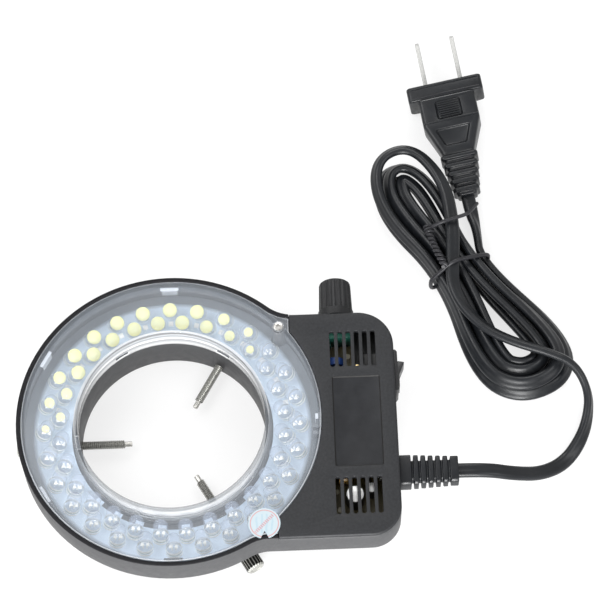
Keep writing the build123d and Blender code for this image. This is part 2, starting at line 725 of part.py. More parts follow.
def switch_body():
    """The rocker switch's bezel and body, hollow where the rocker tips."""
    half_l, half_h = BEZEL_L / 2, BEZEL_H / 2
    bezel = Pos(BOX_RIGHT_X + BEZEL_T / 2, SWITCH_Y, SWITCH_Z) * Box(BEZEL_T, BEZEL_L, BEZEL_H)
    outer = bezel.faces().sort_by(Axis.X)[-1].edges()
    bezel = chamfer(outer, BEZEL_T / 2)
    inner_l, inner_h = SWITCH_BODY_L / 2, SWITCH_BODY_H / 2
    body = bezel + box(
        BOX_RIGHT_X - SWITCH_DEPTH,
        BOX_RIGHT_X + BEZEL_T / 2,
        SWITCH_Y - inner_l,
        SWITCH_Y + inner_l,
        SWITCH_Z - inner_h,
        SWITCH_Z + inner_h,
    )
    reach = math.hypot(ROCKER_HALF, ROCKER_END) + ROCKER_GAP
    well = ROCKER_H / 2 + ROCKER_SIDE
    body -= box(
        PIVOT_X - ROCKER_BELLY - ROCKER_GAP - ROCKER_SIDE,
        BOX_RIGHT_X + BEZEL_T + OVER,
        SWITCH_Y - min(reach, inner_l - ROCKER_GAP),
        SWITCH_Y + min(reach, inner_l - ROCKER_GAP),
        SWITCH_Z - well,
        SWITCH_Z + well,
    )
    for side in (-1, 1):
        root = SWITCH_Z + side * (well + ROCKER_SIDE / 2)
        pin = Cylinder(PIVOT_R, 2 * ROCKER_SIDE + ROCKER_SIDE)
        body += Pos(PIVOT_X - ROCKER_BELLY / 2, SWITCH_Y, root) * pin
    return body


def rocker():
    """The rocker: two sloped faces that meet in a dip over the pivot, tipped at rest."""
    up = ROCKER_END
    profile = Polygon(
        (ROCKER_DIP, 0),
        (up, ROCKER_HALF),
        (0, ROCKER_HALF),
        (-ROCKER_BELLY, ROCKER_HALF / 3),
        (-ROCKER_BELLY, -ROCKER_HALF / 3),
        (0, -ROCKER_HALF),
        (up, -ROCKER_HALF),
        align=None,
    )
    solid = Pos(0, 0, -ROCKER_H / 2) * extrude(profile, ROCKER_H)
    for side in (-1, 1):
        deep = ROCKER_SIDE * 3
        solid -= Pos(-ROCKER_BELLY / 2, 0, side * (ROCKER_H - deep) / 2) * Cylinder(
            PIVOT_R + SHAFT_FIT, deep + SHAFT_FIT
        )
    tipped = Pos(ROCKER_BELLY / 2, 0, 0) * solid
    tipped = Rot(0, 0, -ROCKER_DEG) * tipped
    return Pos(PIVOT_X - ROCKER_BELLY / 2, SWITCH_Y, SWITCH_Z) * tipped


def switch_terminals():
    """Two brass blades on the back of the switch."""
    back = BOX_RIGHT_X - SWITCH_DEPTH
    blades = []
    for side in (-1, 1):
        y = SWITCH_Y + side * TERMINAL_PITCH / 2
        blades.append(
            box(
                back - TERMINAL_L,
                back,
                y - TERMINAL_T / 2,
                y + TERMINAL_T / 2,
                SWITCH_Z - TERMINAL_W / 2,
                SWITCH_Z + TERMINAL_W / 2,
            )
        )
    return Compound(children=blades)


def control_board():
    """The driver board, stepped to leave room for the switch."""
    plan = rectangle(PCB_X, PCB_RIGHT_X, PCB_LOW_Y, PCB_STEP_Y)
    plan += rectangle(PCB_X, PCB_NECK_X, PCB_LOW_Y, PCB_TOP_Y)
    return slab(plan, PCB_Z, PCB_TOP_Z)


def on_board(at):
    """The place of a component on the driver board, from the board's lower left corner."""
    return PCB_X + at[0], PCB_LOW_Y + at[1]


def round_capacitor(at, r, h):
    """A can capacitor, its bare end framed by the sleeve."""
    x, y = on_board(at)
    top = PCB_TOP_Z + h
    return peg(r, PCB_TOP_Z, top, x, y) - peg(r - CAP_SLEEVE, top - CAP_SLEEVE, top + OVER, x, y)


def varistor():
    """A lacquered disc on two legs, behind the dimmer."""
    x, y = PCB_X + VARISTOR_AT[0], PCB_TOP_Y - VARISTOR_AT[1]
    z = PCB_TOP_Z + VARISTOR_LEG_L + VARISTOR_R
    body = along("y", VARISTOR_R, y - VARISTOR_T / 2, VARISTOR_T, x=x, z=z, sides=PEG_SIDES)
    for side in (-1, 1):
        leg_x = x + side * VARISTOR_LEG_PITCH / 2
        body += box(
            leg_x - VARISTOR_LEG_W / 2,
            leg_x + VARISTOR_LEG_W / 2,
            y - VARISTOR_LEG_W / 2,
            y + VARISTOR_LEG_W / 2,
            PCB_TOP_Z,
            z,
        )
    return body


def transformer():
    """A small transformer: a ferrite core round a taped coil."""
    middle_x, middle_y = on_board(CORE_AT)
    core = Pos(middle_x, middle_y, PCB_TOP_Z + CORE_H / 2) * Box(CORE_W, CORE_L, CORE_H)
    for side in (-1, 1):
        x = middle_x + side * CORE_W / 2
        core -= box(
            x - COIL_SIDE,
            x + COIL_SIDE,
            middle_y - COIL_W / 2,
            middle_y + COIL_W / 2,
            PCB_TOP_Z + COIL_SIDE,
            PCB_TOP_Z + CORE_H + OVER,
        )
    return core


def film_capacitor():
    """A small box capacitor."""
    x, y = on_board(FILM_AT)
    block = Pos(x, y, PCB_TOP_Z + FILM_H / 2) * Box(FILM_W, FILM_L, FILM_H)
    return chamfer(block.edges().group_by(Axis.Z)[-1], FILM_EDGE)


def bent_wire(points):
    """A wire with square turns, each run overlapping the next by half its width."""
    half = WIRE_W / 2
    wire = None
    for i, (a, b) in enumerate(zip(points, points[1:])):
        low = [min(p, q) for p, q in zip(a, b)]
        high = [max(p, q) for p, q in zip(a, b)]
        run = []
        for axis in range(3):
            lies_along = high[axis] > low[axis]
            at_start = lies_along and i == 0
            at_end = lies_along and i == len(points) - 2
            low_end = a[axis] == low[axis]
            open_low = (at_start and low_end) or (at_end and not low_end)
            open_high = (at_start and not low_end) or (at_end and low_end)
            run += [
                low[axis] - (0 if open_low else half),
                high[axis] + (0 if open_high else half),
            ]
        piece = box(*run)
        wire = piece if wire is None else wire + piece
    return wire


def led_wires():
    """Two wires from the LED board over the ring wall's gap to the driver board."""
    wires = []
    top = BOARD_TOP_Z + LED_WIRE_RISE
    for side in (-1, 1):
        y = WIRE_GAP_Y + side * LED_WIRE_PITCH / 2
        end = PCB_X + LED_WIRE_END_IN
        points = [
            (RING_R - LED_WIRE_IN, y, BOARD_TOP_Z),
            (RING_R - LED_WIRE_IN, y, top),
            (end, y, top),
            (end, y, PCB_TOP_Z),
        ]
        wires.append(bent_wire(points))
    return Compound(children=wires)


def switch_wires():
    """Two wires from the switch's blades down to the driver board."""
    start = BOX_RIGHT_X - SWITCH_DEPTH - TERMINAL_L
    wires = []
    for side in (-1, 1):
        y = SWITCH_Y + side * TERMINAL_PITCH / 2
        x = start - SWITCH_WIRE_RUN
        wires.append(
            bent_wire([(start, y, SWITCH_Z), (x, y, SWITCH_Z), (x, y, PCB_TOP_Z)])
        )
    return Compound(children=wires)


def mains_wires():
    """The cord's two cores, from inside the strain relief down to the driver board."""
    start = BOX_RIGHT_X - WALL_T - BOOT_IN
    wires = []
    for side in (-1, 1):
        y = BOOT_Y + side * MAINS_WIRE_PITCH / 2
        x = start - MAINS_WIRE_RUN
        wires.append(bent_wire([(start, y, BOOT_Z), (x, y, BOOT_Z), (x, y, PCB_TOP_Z)]))
    return Compound(children=wires)


def boot_block(x, length, w, h):
    """A block of the strain relief, square to the cord, its corners cut off."""
    face = Plane(origin=(x, BOOT_Y, BOOT_Z), x_dir=(0, 1, 0), z_dir=(1, 0, 0))
    return extrude(face * blunted(w, h, BOOT_CUT), length)


def strain_relief():
    """A ribbed boot that grips the box wall between its root and an inner lip."""
    inner = BOX_RIGHT_X - WALL_T - BOOT_IN
    boot = boot_block(inner, BOOT_IN + WALL_T + BOOT_OUT, BOOT_CORE_W, BOOT_CORE_H)
    boot += boot_block(
        inner, BOOT_IN - SHAFT_FIT, BOOT_CORE_W + 2 * BOOT_LIP, BOOT_CORE_H + 2 * BOOT_LIP
    )
    boot += boot_block(BOX_RIGHT_X, BOOT_ROOT_L, BOOT_ROOT_W, BOOT_ROOT_H)
    end_x = BOX_RIGHT_X + BOOT_OUT - BOOT_END_L
    boot += boot_block(end_x, BOOT_END_L, BOOT_END_W, BOOT_END_H)
    span = BOOT_OUT - BOOT_ROOT_L - BOOT_END_L
    groove = (span - BOOT_RIB_N * BOOT_RIB_L) / (BOOT_RIB_N + 1)
    for k in range(BOOT_RIB_N):
        x = BOX_RIGHT_X + BOOT_ROOT_L + groove + k * (groove + BOOT_RIB_L)
        share = (k + 1) / (BOOT_RIB_N + 1)
        w = BOOT_ROOT_W + (BOOT_END_W - BOOT_ROOT_W) * share
        h = BOOT_ROOT_H + (BOOT_END_H - BOOT_ROOT_H) * share
        boot += boot_block(x, BOOT_RIB_L, w, h)
    return boot


def corner_radii(points):
    """For each corner, the largest arc that its two runs leave room for."""
    radii = []
    for a, b, c in zip(points, points[1:], points[2:]):
        before, after = Vector(*b) - Vector(*a), Vector(*c) - Vector(*b)
        turn = math.radians(before.get_angle(after))
        run = min(before.length, after.length)
        radii.append(ARC_SHARE * run / math.tan(turn / 2))
    return radii


def cord_tube(name, points):
    """A tube of the cord's size along straight runs and tangent arcs."""
    radii = corner_radii(points)
    path = FilletPolyline(*points, radius=radii)
    section = RegularPolygon(CORD_D / 2, CORD_SIDES, rotation=180 / CORD_SIDES)
    tube = sweep(Plane(origin=path @ 0, z_dir=path % 0) * section, path=path)
    print(
        f"{name}: length {path.length:.1f}, least radius {min(radii):.1f},",
        f"volume over section times length {tube.volume / (section.area * path.length):.4f}",
    )
    print(name, "radii", [round(r, 1) for r in radii])
    return tube, path


def hank_point(u, v, z):
    """A place in the hank, from across, along and above its waist."""
    a = math.radians(HANK_TURN_DEG)
    return (
        WAIST_X + u * math.cos(a) - v * math.sin(a),
        WAIST_Y + u * math.sin(a) + v * math.cos(a),
        z,
    )


def loop_corner(k, inward):
    """Corner k of ten in a loop, as (across, along), with the loop drawn in by a share of pitch."""
    step = LOOP_PITCH * inward
    if k % 5 == 0:
        return (1 if k == 0 else -1) * (WAIST_HALF_W - step), 0.0
    half_w = LOW_HALF_W if k < 5 else UP_HALF_W
    along_sign = -1 if k < 5 else 1
    across_sign = 1 if k in (1, 2, 8, 9) else -1
    if k in (1, 4, 6, 9):
        u = SIDE_W_SHARE * half_w - SIDE_STEP_SHARE * step
        return across_sign * u, along_sign * SIDE_L_SHARE * HANK_HALF_L
    u = TIP_W_SHARE * half_w - TIP_STEP_SHARE * step
    return across_sign * u, along_sign * (HANK_HALF_L - TIP_L_STEP_SHARE * step)


def hank_points():
    """Loops that spiral in on the table, climb inside the lower lobe and spiral out on top."""
    level = CORD_D / 2
    upper = level + LOOP_PITCH
    points = []
    for k in range(LAST_CORNER + 1):
        turns = k / LOOP_CORNERS
        corner = k % LOOP_CORNERS
        if turns <= IN_TURNS:
            inward, z = turns - (FIRST_OUT_SHARE if k == 0 else 0), level
        elif turns < OUT_FROM:
            inward = IN_TURNS + INNER_BUMP_SHARE
            z = level if corner <= 1 else upper
        else:
            inward, z = IN_TURNS + OUT_FROM - turns, upper
        if k >= CLIMB_CORNER:
            z = level + TIE_LEVEL * LOOP_PITCH
        if corner % 5 == 0:
            z += WAIST_LIFT
        points.append(hank_point(*loop_corner(corner, inward), z))
    return points


def plug_place():
    """The plug's frame: Y runs out along the blades, origin at the flange's front, at rest."""
    turn = Rot(0, 0, PLUG_TURN_DEG) * Rot(PLUG_PITCH_DEG, 0, 0) * Rot(0, PLUG_ROLL_DEG, 0)
    half_w, half_h = PLUG_FLANGE_W / 2, PLUG_FLANGE_H / 2
    corners = [
        Pos(side * x, y, -z)
        for side in (-1, 1)
        for x, z in ((half_w, half_h - PLUG_CUT), (half_w - PLUG_CUT, half_h))
        for y in (0, -PLUG_FLANGE_L)
    ]
    lowest = min((turn * corner).position.Z for corner in corners)
    return Pos(PLUG_X, PLUG_Y, -lowest) * turn


def plug_point(y):
    """A point on the plug's middle line."""
    return tuple((plug_place() * Pos(0, y, 0)).position)


def onward(a, b, run):
    """The point a run further along the line from a through b."""
    step = (Vector(*b) - Vector(*a)).normalized() * run
    return tuple(Vector(*b) + step)


def cord_hank():
    """The hank in one tube, from the plug through its loops to the waist under the tie."""
    top = CORD_D / 2 + TIE_LEVEL * LOOP_PITCH
    lead = [
        plug_point(-PLUG_L),
        plug_point(-PLUG_L - LEAD_OUT),
        hank_point(*LEAD_IN_UV, CORD_D / 2 + WAIST_LIFT),
    ]
    tail = [
        hank_point(*TOP_SIDE_UV, top),
        onward(FREE_ROUTE[-2], FREE_ROUTE[-1], JOIN_RUN),
        FREE_ROUTE[-1],
    ]
    tube, path = cord_tube("cord_hank", lead + hank_points() + tail)
    print("cord_hank least gap to itself", round(own_gap(path), 2))
    return tube


def own_gap(path, samples=2400):
    """The least gap of a tube to itself, measured on points along its path."""
    at = np.array([tuple(path @ (i / samples)) for i in range(samples + 1)])
    skip = int(math.ceil(4 * CORD_D / path.length * samples))
    least = math.inf
    for i in range(0, len(at) - skip, 2):
        least = min(least, float(np.linalg.norm(at[i + skip :] - at[i], axis=1).min()))
    return least - CORD_D


def cord_free():
    """The free stretch: out of the strain relief, down to the table, over the hank to its waist."""
    tube, _ = cord_tube("cord_free", list(FREE_ROUTE))
    return tube


def tie_branch(route, bend_r, r, top):
    """A bent length of the tie's wire, its route given in the hank's places from the tie's top."""
    path = FilletPolyline(*[hank_point(u, v, top + z) for u, v, z in route], radius=bend_r)
    section = RegularPolygon(r, TIE_SIDES)
    return sweep(Plane(origin=path @ 0, z_dir=path % 0) * section, path=path)


def twist_tie():
    """A wire tie round the waist of the hank: its loop, the twisted tail and one free end."""
    off = CORD_D / 2 + TIE_GAP + TIE_R
    half = WAIST_HALF_W + TIE_SPREAD + off
    top = FREE_ROUTE[-1][2] + off
    shoulder = CORD_D / 2 + LOOP_PITCH + WAIST_LIFT + TIE_SHOULDER_UP
    a = math.radians(HANK_TURN_DEG)
    plane = Plane(
        origin=hank_point(0, 0, 0),
        x_dir=(math.cos(a), math.sin(a), 0),
        z_dir=(math.sin(a), -math.cos(a), 0),
    )
    outline = Polygon(
        (-half, TIE_R),
        (half, TIE_R),
        (half, shoulder),
        (TIE_PEAK_U, top + TIE_PEAK_UP),
        (-half, shoulder),
        align=None,
    )
    loop = (plane * fillet(outline.vertices(), off)).wire()
    section = RegularPolygon(TIE_R, TIE_SIDES)
    tie = sweep(Plane(origin=loop @ 0, z_dir=loop % 0) * section, path=loop)
    tie += tie_branch(TAIL_ROUTE, TAIL_BEND_R, TAIL_R, top)
    return tie + tie_branch(END_ROUTE, END_BEND_R, TIE_R, top)


def plug_section(y, w, h):
    face = Plane(origin=(0, y, 0), x_dir=(1, 0, 0), z_dir=(0, -1, 0))
    return face * blunted(w, h, PLUG_CUT)


def plug_body():
    """A flat plug: wide flange, shouldered body, and a ribbed neck that tapers to the cord."""
    flange = extrude(
        plug_section(0, PLUG_FLANGE_W, PLUG_FLANGE_H), PLUG_FLANGE_L
    )
    sections = (
        (PLUG_FLANGE_L, PLUG_BODY_W, PLUG_BODY_H),
        (PLUG_SHOULDER_L, PLUG_BODY_W, PLUG_BODY_H),
        (PLUG_NECK_L, PLUG_NECK_W, PLUG_NECK_H),
        (PLUG_L, PLUG_END_W, PLUG_END_H),
    )
    body = flange
    for (y0, w0, h0), (y1, w1, h1) in zip(sections, sections[1:]):
        body += loft(
            [plug_section(-y0, w0, h0), plug_section(-y1, w1, h1)],
            ruled=True,
        )
    pitch = (PLUG_L - PLUG_NECK_L) / (PLUG_RIB_N + 1 / 2)
    for k in range(PLUG_RIB_N):
        y = PLUG_NECK_L + (k + 1 / 2) * pitch
        share = (y - PLUG_NECK_L) / (PLUG_L - PLUG_NECK_L)
        w = PLUG_NECK_W + (PLUG_END_W - PLUG_NECK_W) * share + 2 * PLUG_RIB_PROUD
        h = PLUG_NECK_H + (PLUG_END_H - PLUG_NECK_H) * share + 2 * PLUG_RIB_PROUD
        body += extrude(plug_section(-y, w, h), PLUG_RIB_L)
    middle = -(PLUG_FLANGE_L + PLUG_SHOULDER_L) / 2
    panel = Pos(0, middle, PLUG_BODY_H / 2) * Box(
        PLUG_PANEL_W, PLUG_PANEL_L, 2 * PLUG_PANEL_DEEP
    )
    return plug_place() * (body - panel)


def plug_blades():
    """Two flat blades, bevelled at their tips."""
    blades = []
    for side in (-1, 1):
        blade = Pos(side * BLADE_PITCH / 2, BLADE_L / 2, 0) * Box(BLADE_T, BLADE_L, BLADE_W)
        tip = blade.faces().sort_by(Axis.Y)[-1].edges().filter_by(Axis.X)
        blades.append(plug_place() * chamfer(tip, BLADE_EDGE))
    return Compound(children=blades)


PARTS = {
    "housing": housing,
    "clear_cover": clear_cover,
    "ear_screws": ear_screws,
    "paper_seal": paper_seal,
    "led_board": led_board,
    "box_lid": box_lid,
    "case_screws": case_screws,
    "potentiometer": potentiometer,
    "dial_shaft": dial_shaft,
    "brightness_knob": brightness_knob,
    "switch_body": switch_body,
    "rocker": rocker,
    "switch_terminals": switch_terminals,
    "control_board": control_board,
    "capacitor_large": lambda: round_capacitor(CAP_AT, CAP_R, CAP_H),
    "capacitor_small": lambda: round_capacitor(SMALL_CAP_AT, SMALL_CAP_R, SMALL_CAP_H),
    "varistor": varistor,
    "transformer": transformer,
    "film_capacitor": film_capacitor,
    "led_wires": led_wires,
    "switch_wires": switch_wires,
    "mains_wires": mains_wires,
    "strain_relief": strain_relief,
    "cord_free": cord_free,
    "cord_hank": cord_hank,
    "twist_tie": twist_tie,
    "plug_body": plug_body,
    "plug_blades": plug_blades,
}
for row_name, row_r, row_phase in LED_ROWS:
    PARTS[row_name] = lambda r=row_r, p=row_phase: led_row(r, p)
for k in range(SCREW_N):
    PARTS[f"thumbscrew_{k + 1}"] = lambda az=SCREW_AZ + k * 360 / SCREW_N: thumbscrew(az)

for name, make in PARTS.items():
    export_step(make(), f"parts/{name}.step")
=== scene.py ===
import json
import math

import bmesh
import bpy
from bpy.props import FloatProperty, FloatVectorProperty, IntProperty, PointerProperty
from mathutils import Matrix, Vector

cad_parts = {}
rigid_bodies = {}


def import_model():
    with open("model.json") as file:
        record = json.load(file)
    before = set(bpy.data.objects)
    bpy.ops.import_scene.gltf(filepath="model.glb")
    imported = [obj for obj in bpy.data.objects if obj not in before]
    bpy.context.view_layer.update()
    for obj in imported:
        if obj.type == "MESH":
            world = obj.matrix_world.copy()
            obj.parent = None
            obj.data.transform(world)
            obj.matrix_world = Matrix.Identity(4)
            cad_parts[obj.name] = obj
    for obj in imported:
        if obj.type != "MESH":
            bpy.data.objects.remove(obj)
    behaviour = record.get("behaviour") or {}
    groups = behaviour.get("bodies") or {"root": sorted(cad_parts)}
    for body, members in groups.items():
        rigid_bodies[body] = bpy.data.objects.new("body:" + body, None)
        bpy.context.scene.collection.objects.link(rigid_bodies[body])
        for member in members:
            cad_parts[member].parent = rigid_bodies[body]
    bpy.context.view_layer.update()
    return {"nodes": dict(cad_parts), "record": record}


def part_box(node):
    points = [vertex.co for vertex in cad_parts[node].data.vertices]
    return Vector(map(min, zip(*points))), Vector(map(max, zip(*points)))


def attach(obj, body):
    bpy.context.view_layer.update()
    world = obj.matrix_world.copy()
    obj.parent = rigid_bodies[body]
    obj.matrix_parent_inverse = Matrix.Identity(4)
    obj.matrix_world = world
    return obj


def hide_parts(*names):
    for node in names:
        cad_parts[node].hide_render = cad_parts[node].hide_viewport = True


bl_info = {
    "name": "Microscope ring light",
    "version": (1, 0, 0),
    "blender": (4, 5, 0),
    "location": "View3D > Sidebar > Ring light",
    "description": "Dresses a microscope ring light with its cord, LEDs, controls and finishes",
    "category": "Object",
}

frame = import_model()
SLOTS = {part["node"]: part["material_slot"] for part in frame["record"]["subparts"]}

MM = 0.001
TOP_Z = 25.5 * MM
LEDS_IN_ROW = 28

# Helpers for sizes, places and turns


def mm(*values):
    """A place or a size given in millimetres."""
    return Vector([value * MM for value in values])


def moved(*values):
    return Matrix.Translation(mm(*values))


def turned(degrees, axis="Z"):
    return Matrix.Rotation(math.radians(degrees), 4, axis)


def faces_up(face):
    return face.normal.z > 0.9


# Helpers for working as by hand


def deselect_all():
    bpy.ops.object.select_all(action="DESELECT")


def only(*objects):
    """Leave just these objects selected, the last of them active."""
    deselect_all()
    for obj in objects:
        obj.select_set(True)
    bpy.context.view_layer.objects.active = objects[-1]


def edit(obj):
    only(obj)
    bpy.ops.object.mode_set(mode="EDIT")
    bpy.ops.mesh.select_all(action="DESELECT")


def leave_edit():
    bpy.ops.object.mode_set(mode="OBJECT")


def pick(obj, kind, test):
    """In edit mode, select just the vertices, edges or faces that pass a test."""
    bpy.ops.mesh.select_mode(type=kind)
    bpy.ops.mesh.select_all(action="DESELECT")
    mesh = bmesh.from_edit_mesh(obj.data)
    items = {"VERT": mesh.verts, "EDGE": mesh.edges, "FACE": mesh.faces}[kind]
    found = [item for item in items if test(item)]
    if not found:
        raise RuntimeError(f"nothing to select on {obj.name}")
    for item in found:
        item.select_set(True)
    mesh.select_flush_mode()
    bmesh.update_edit_mesh(obj.data)


def raise_end(rise, scale=1):
    """Extrude the selected end upwards, in millimetres, and draw it in."""
    bpy.ops.mesh.extrude_region_move(TRANSFORM_OT_translate={"value": (0, 0, rise * MM)})
    if scale != 1:
        bpy.ops.transform.resize(value=(scale, scale, 1))


def new_piece(name):
    """Name the object that an operator has just added."""
    piece = bpy.context.active_object
    piece.name = piece.data.name = name
    return piece


def rooted(piece):
    """Put a piece's place into its mesh."""
    only(piece)
    bpy.ops.object.transform_apply(location=True, rotation=True, scale=True)
    return piece


def with_modifier(piece, kind, **values):
    """Add a modifier, set it and apply it."""
    only(piece)
    bpy.ops.object.modifier_add(type=kind)
    modifier = piece.modifiers[-1]
    for name, value in values.items():
        setattr(modifier, name, value)
    bpy.ops.object.modifier_apply(modifier=modifier.name)


def smoothed(piece, degrees=35):
    only(piece)
    bpy.ops.object.shade_smooth_by_angle(angle=math.radians(degrees))
    return piece


def joined(name, pieces):
    only(*pieces)
    if len(pieces) > 1:
        bpy.ops.object.join()
    return new_piece(name)


def copied(piece, at):
    """A copy of a piece with its own mesh, moved by a matrix."""
    copy = piece.copy()
    copy.data = piece.data.copy()
    bpy.context.scene.collection.objects.link(copy)
    copy.data.transform(at)
    return copy


def coat(piece, *materials):
    """Give a piece these materials in place of its own."""
    piece.data.materials.clear()
    for material in materials:
        piece.data.materials.append(material)
    return piece


def finished(piece, slot, *materials, body="light"):
    """Give a piece its materials and its body; the slot is not used."""
    if materials:
        coat(piece, *materials)
    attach(piece, body)


def stand_for(node, piece, *materials, body="light"):
    """Put a finished piece in the place of a CAD node, which it hides."""
    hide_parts(node)
    finished(piece, SLOTS[node], *materials, body=body)


def cad_copy(node, name, merge=True):
    """A copy of a CAD node, with its flat faces merged unless they hold many holes."""
    only(frame["nodes"][node])
    bpy.ops.object.duplicate()
    piece = new_piece(name)
    bpy.ops.object.parent_clear(type="CLEAR_KEEP_TRANSFORM")
    edit(piece)
    bpy.ops.mesh.select_all(action="SELECT")
    bpy.ops.mesh.remove_doubles(threshold=0.005 * MM)
    if merge:
        bpy.ops.mesh.dissolve_limited(angle_limit=math.radians(1.0))
    leave_edit()
    return piece


def rounded(piece, width, segments=2, angle=28):
    """Soften a piece's edges and shade it smooth."""
    with_modifier(
        piece,
        "BEVEL",
        width=width,
        segments=segments,
        limit_method="ANGLE",
        angle_limit=math.radians(angle),
        use_clamp_overlap=False,
        miter_outer="MITER_ARC",
    )
    return smoothed(piece)


def dressed(node, name, width, *materials, segments=2, body="light"):
    """A CAD node's piece with softened edges and its finish, in the node's place."""
    piece = rounded(cad_copy(node, name), width, segments)
    stand_for(node, piece, *materials, body=body)
    return piece


def cylinder(name, r, start, length, axis="Z", x=0.0, y=0.0, z=0.0, sides=48):
    """A round primitive along X or Z, from a start on that axis."""
    middle = start + length / 2
    deselect_all()
    bpy.ops.mesh.primitive_cylinder_add(
        vertices=sides,
        radius=r,
        depth=length,
        location=(middle, y, z) if axis == "X" else (x, y, middle),
        rotation=(0, math.pi / 2 if axis == "X" else 0, 0),
    )
    return rooted(new_piece(name))


def block(name, low, high):
    """A box primitive between two corners in millimetres."""
    low, high = mm(*low), mm(*high)
    deselect_all()
    bpy.ops.mesh.primitive_cube_add(size=1, location=(low + high) / 2)
    piece = new_piece(name)
    piece.scale = high - low
    return rooted(piece)


def soft_ended(piece, width, test=faces_up, kind="FACE"):
    """A piece with its upper end bevelled, or what else a test picks."""
    edit(piece)
    pick(piece, kind, test)
    bpy.ops.mesh.bevel(offset=width, segments=2)
    leave_edit()
    return piece


# Finishes


def shaded(colour, share):
    """A colour made lighter or darker by a share."""
    return tuple(min(1.0, part * share) for part in colour)


class Finish:
    """A node material on Object coordinates, built up a step at a time."""

    def __init__(self, name, colour, roughness, metallic=0.0, ior=1.5):
        self.material = bpy.data.materials.new(name)
        self.material.use_nodes = True
        self.nodes = self.material.node_tree.nodes
        self.links = self.material.node_tree.links
        self.shader = self.nodes["Principled BSDF"]
        self.shade("Base Color", colour).shade("Roughness", roughness)
        self.shade("Metallic", metallic).shade("IOR", ior)
        self.place = self.nodes.new("ShaderNodeTexCoord").outputs["Object"]

    def feed(self, socket, value):
        """Link an output to a socket, or set it to a number or a colour."""
        if isinstance(value, bpy.types.NodeSocket):
            self.links.new(value, socket)
        elif socket.type == "RGBA":
            socket.default_value = (*value, 1)
        else:
            socket.default_value = value

    def shade(self, name, value):
        """Set or link one of the shader's inputs."""
        self.feed(self.shader.inputs[name], value)
        return self

    def node(self, kind, inputs, output, **settings):
        """Add a node, set it up, feed its inputs, and give one of its outputs."""
        node = self.nodes.new(kind)
        for name, value in settings.items():
            setattr(node, name, value)
        for name, value in inputs.items():
            self.feed(node.inputs[name], value)
        return node.outputs[output]

    def noise(self, size, detail=3):
        """Noise whose grains are about a size in metres."""
        inputs = {"Vector": self.place, "Scale": 1 / size, "Detail": detail}
        return self.node("ShaderNodeTexNoise", inputs, "Fac")

    def between(self, value, low, high, start=0.3, end=0.7):
        """Spread a value to a range of numbers."""
        inputs = {"From Min": start, "From Max": end, "To Min": low, "To Max": high}
        return self.node("ShaderNodeMapRange", {"Value": value, **inputs}, "Result")

    def maths(self, kind, first, second=0.0):
        """A Math node on two values or numbers."""
        return self.node("ShaderNodeMath", {0: first, 1: second}, "Value", operation=kind)

    def product(self, first, *others):
        """Values or numbers multiplied together."""
        for other in others:
            first = self.maths("MULTIPLY", first, other)
        return first

    def radius(self, x, y):
        """The distance from the middle of a plane."""
        squares = self.maths("ADD", self.product(x, x), self.product(y, y))
        return self.maths("SQRT", squares)

    def split(self, place=None):
        node = self.nodes.new("ShaderNodeSeparateXYZ")
        self.links.new(place or self.place, node.inputs[0])
        return tuple(node.outputs)

    def mix(self, share, first, second):
        """A mix of two colours, each a plain colour or an output."""
        inputs = {"Factor": share, 6: first, 7: second}
        return self.node("ShaderNodeMix", inputs, 2, data_type="RGBA")

    def ramp(self, value, stops):
        """Colours at places from 0 to 1."""
        node = self.nodes.new("ShaderNodeValToRGB")
        ramp = node.color_ramp
        while len(ramp.elements) < len(stops):
            ramp.elements.new(0.5)
        for element, (place, colour) in zip(ramp.elements, stops):
            element.position = place
            element.color = (*colour, 1)
        self.links.new(value, node.inputs["Fac"])
        return node.outputs["Color"]

    def mottled(self, first, second, size, detail=3):
        """Patches of two near colours."""
        share = self.between(self.noise(size, detail), 0, 1)
        return self.shade("Base Color", self.mix(share, first, second))

    def uneven(self, low, high, size, detail=3):
        """Roughness that changes in patches."""
        return self.shade("Roughness", self.between(self.noise(size, detail), low, high))

    def bump(self, value, distance, strength):
        inputs = {"Strength": strength, "Distance": distance, "Height": value}
        return self.shade("Normal", self.node("ShaderNodeBump", inputs, "Normal"))


def moulded_plastic(name, colour, gloss, roughness=0.5, grain=0.0007, deep=0.00009):
    """Black plastic from an eroded mould: matt grain, slight mottle and handling wear."""
    finish = Finish(name, colour, roughness).shade("Specular IOR Level", gloss)
    finish.mottled(colour, shaded(colour, 1.5), 0.0008, 4)
    finish.uneven(roughness - 0.05, roughness + 0.06, 0.003)
    return finish.bump(finish.noise(grain, 2), deep, 0.6).material


def satin_plastic(name, colour, roughness, gloss=0.35):
    finish = Finish(name, colour, roughness).shade("Specular IOR Level", gloss)
    finish.mottled(colour, shaded(colour, 1.3), 0.004)
    finish.uneven(roughness - 0.05, roughness + 0.07, 0.002)
    return finish.bump(finish.noise(0.0005, 2), 0.000012, 0.5).material


def turned_steel(name, colour, roughness=0.3, metallic=1.0):
    """Bare metal with fine streaks and darker spots."""
    finish = Finish(name, colour, roughness, metallic)
    finish.mottled(shaded(colour, 0.9), colour, 0.0012, 4)
    finish.uneven(roughness - 0.04, roughness + 0.05, 0.0006)
    return finish.bump(finish.noise(0.0003, 2), 0.000004, 0.4).material


def clear_plastic(name, colour, alpha, roughness):
    """Clear polished plastic, a little milky, with fine scratches in its gloss."""
    finish = Finish(name, colour, roughness, ior=1.49).shade("Alpha", alpha)
    return finish.uneven(roughness, roughness + 0.08, 0.002, 4).material


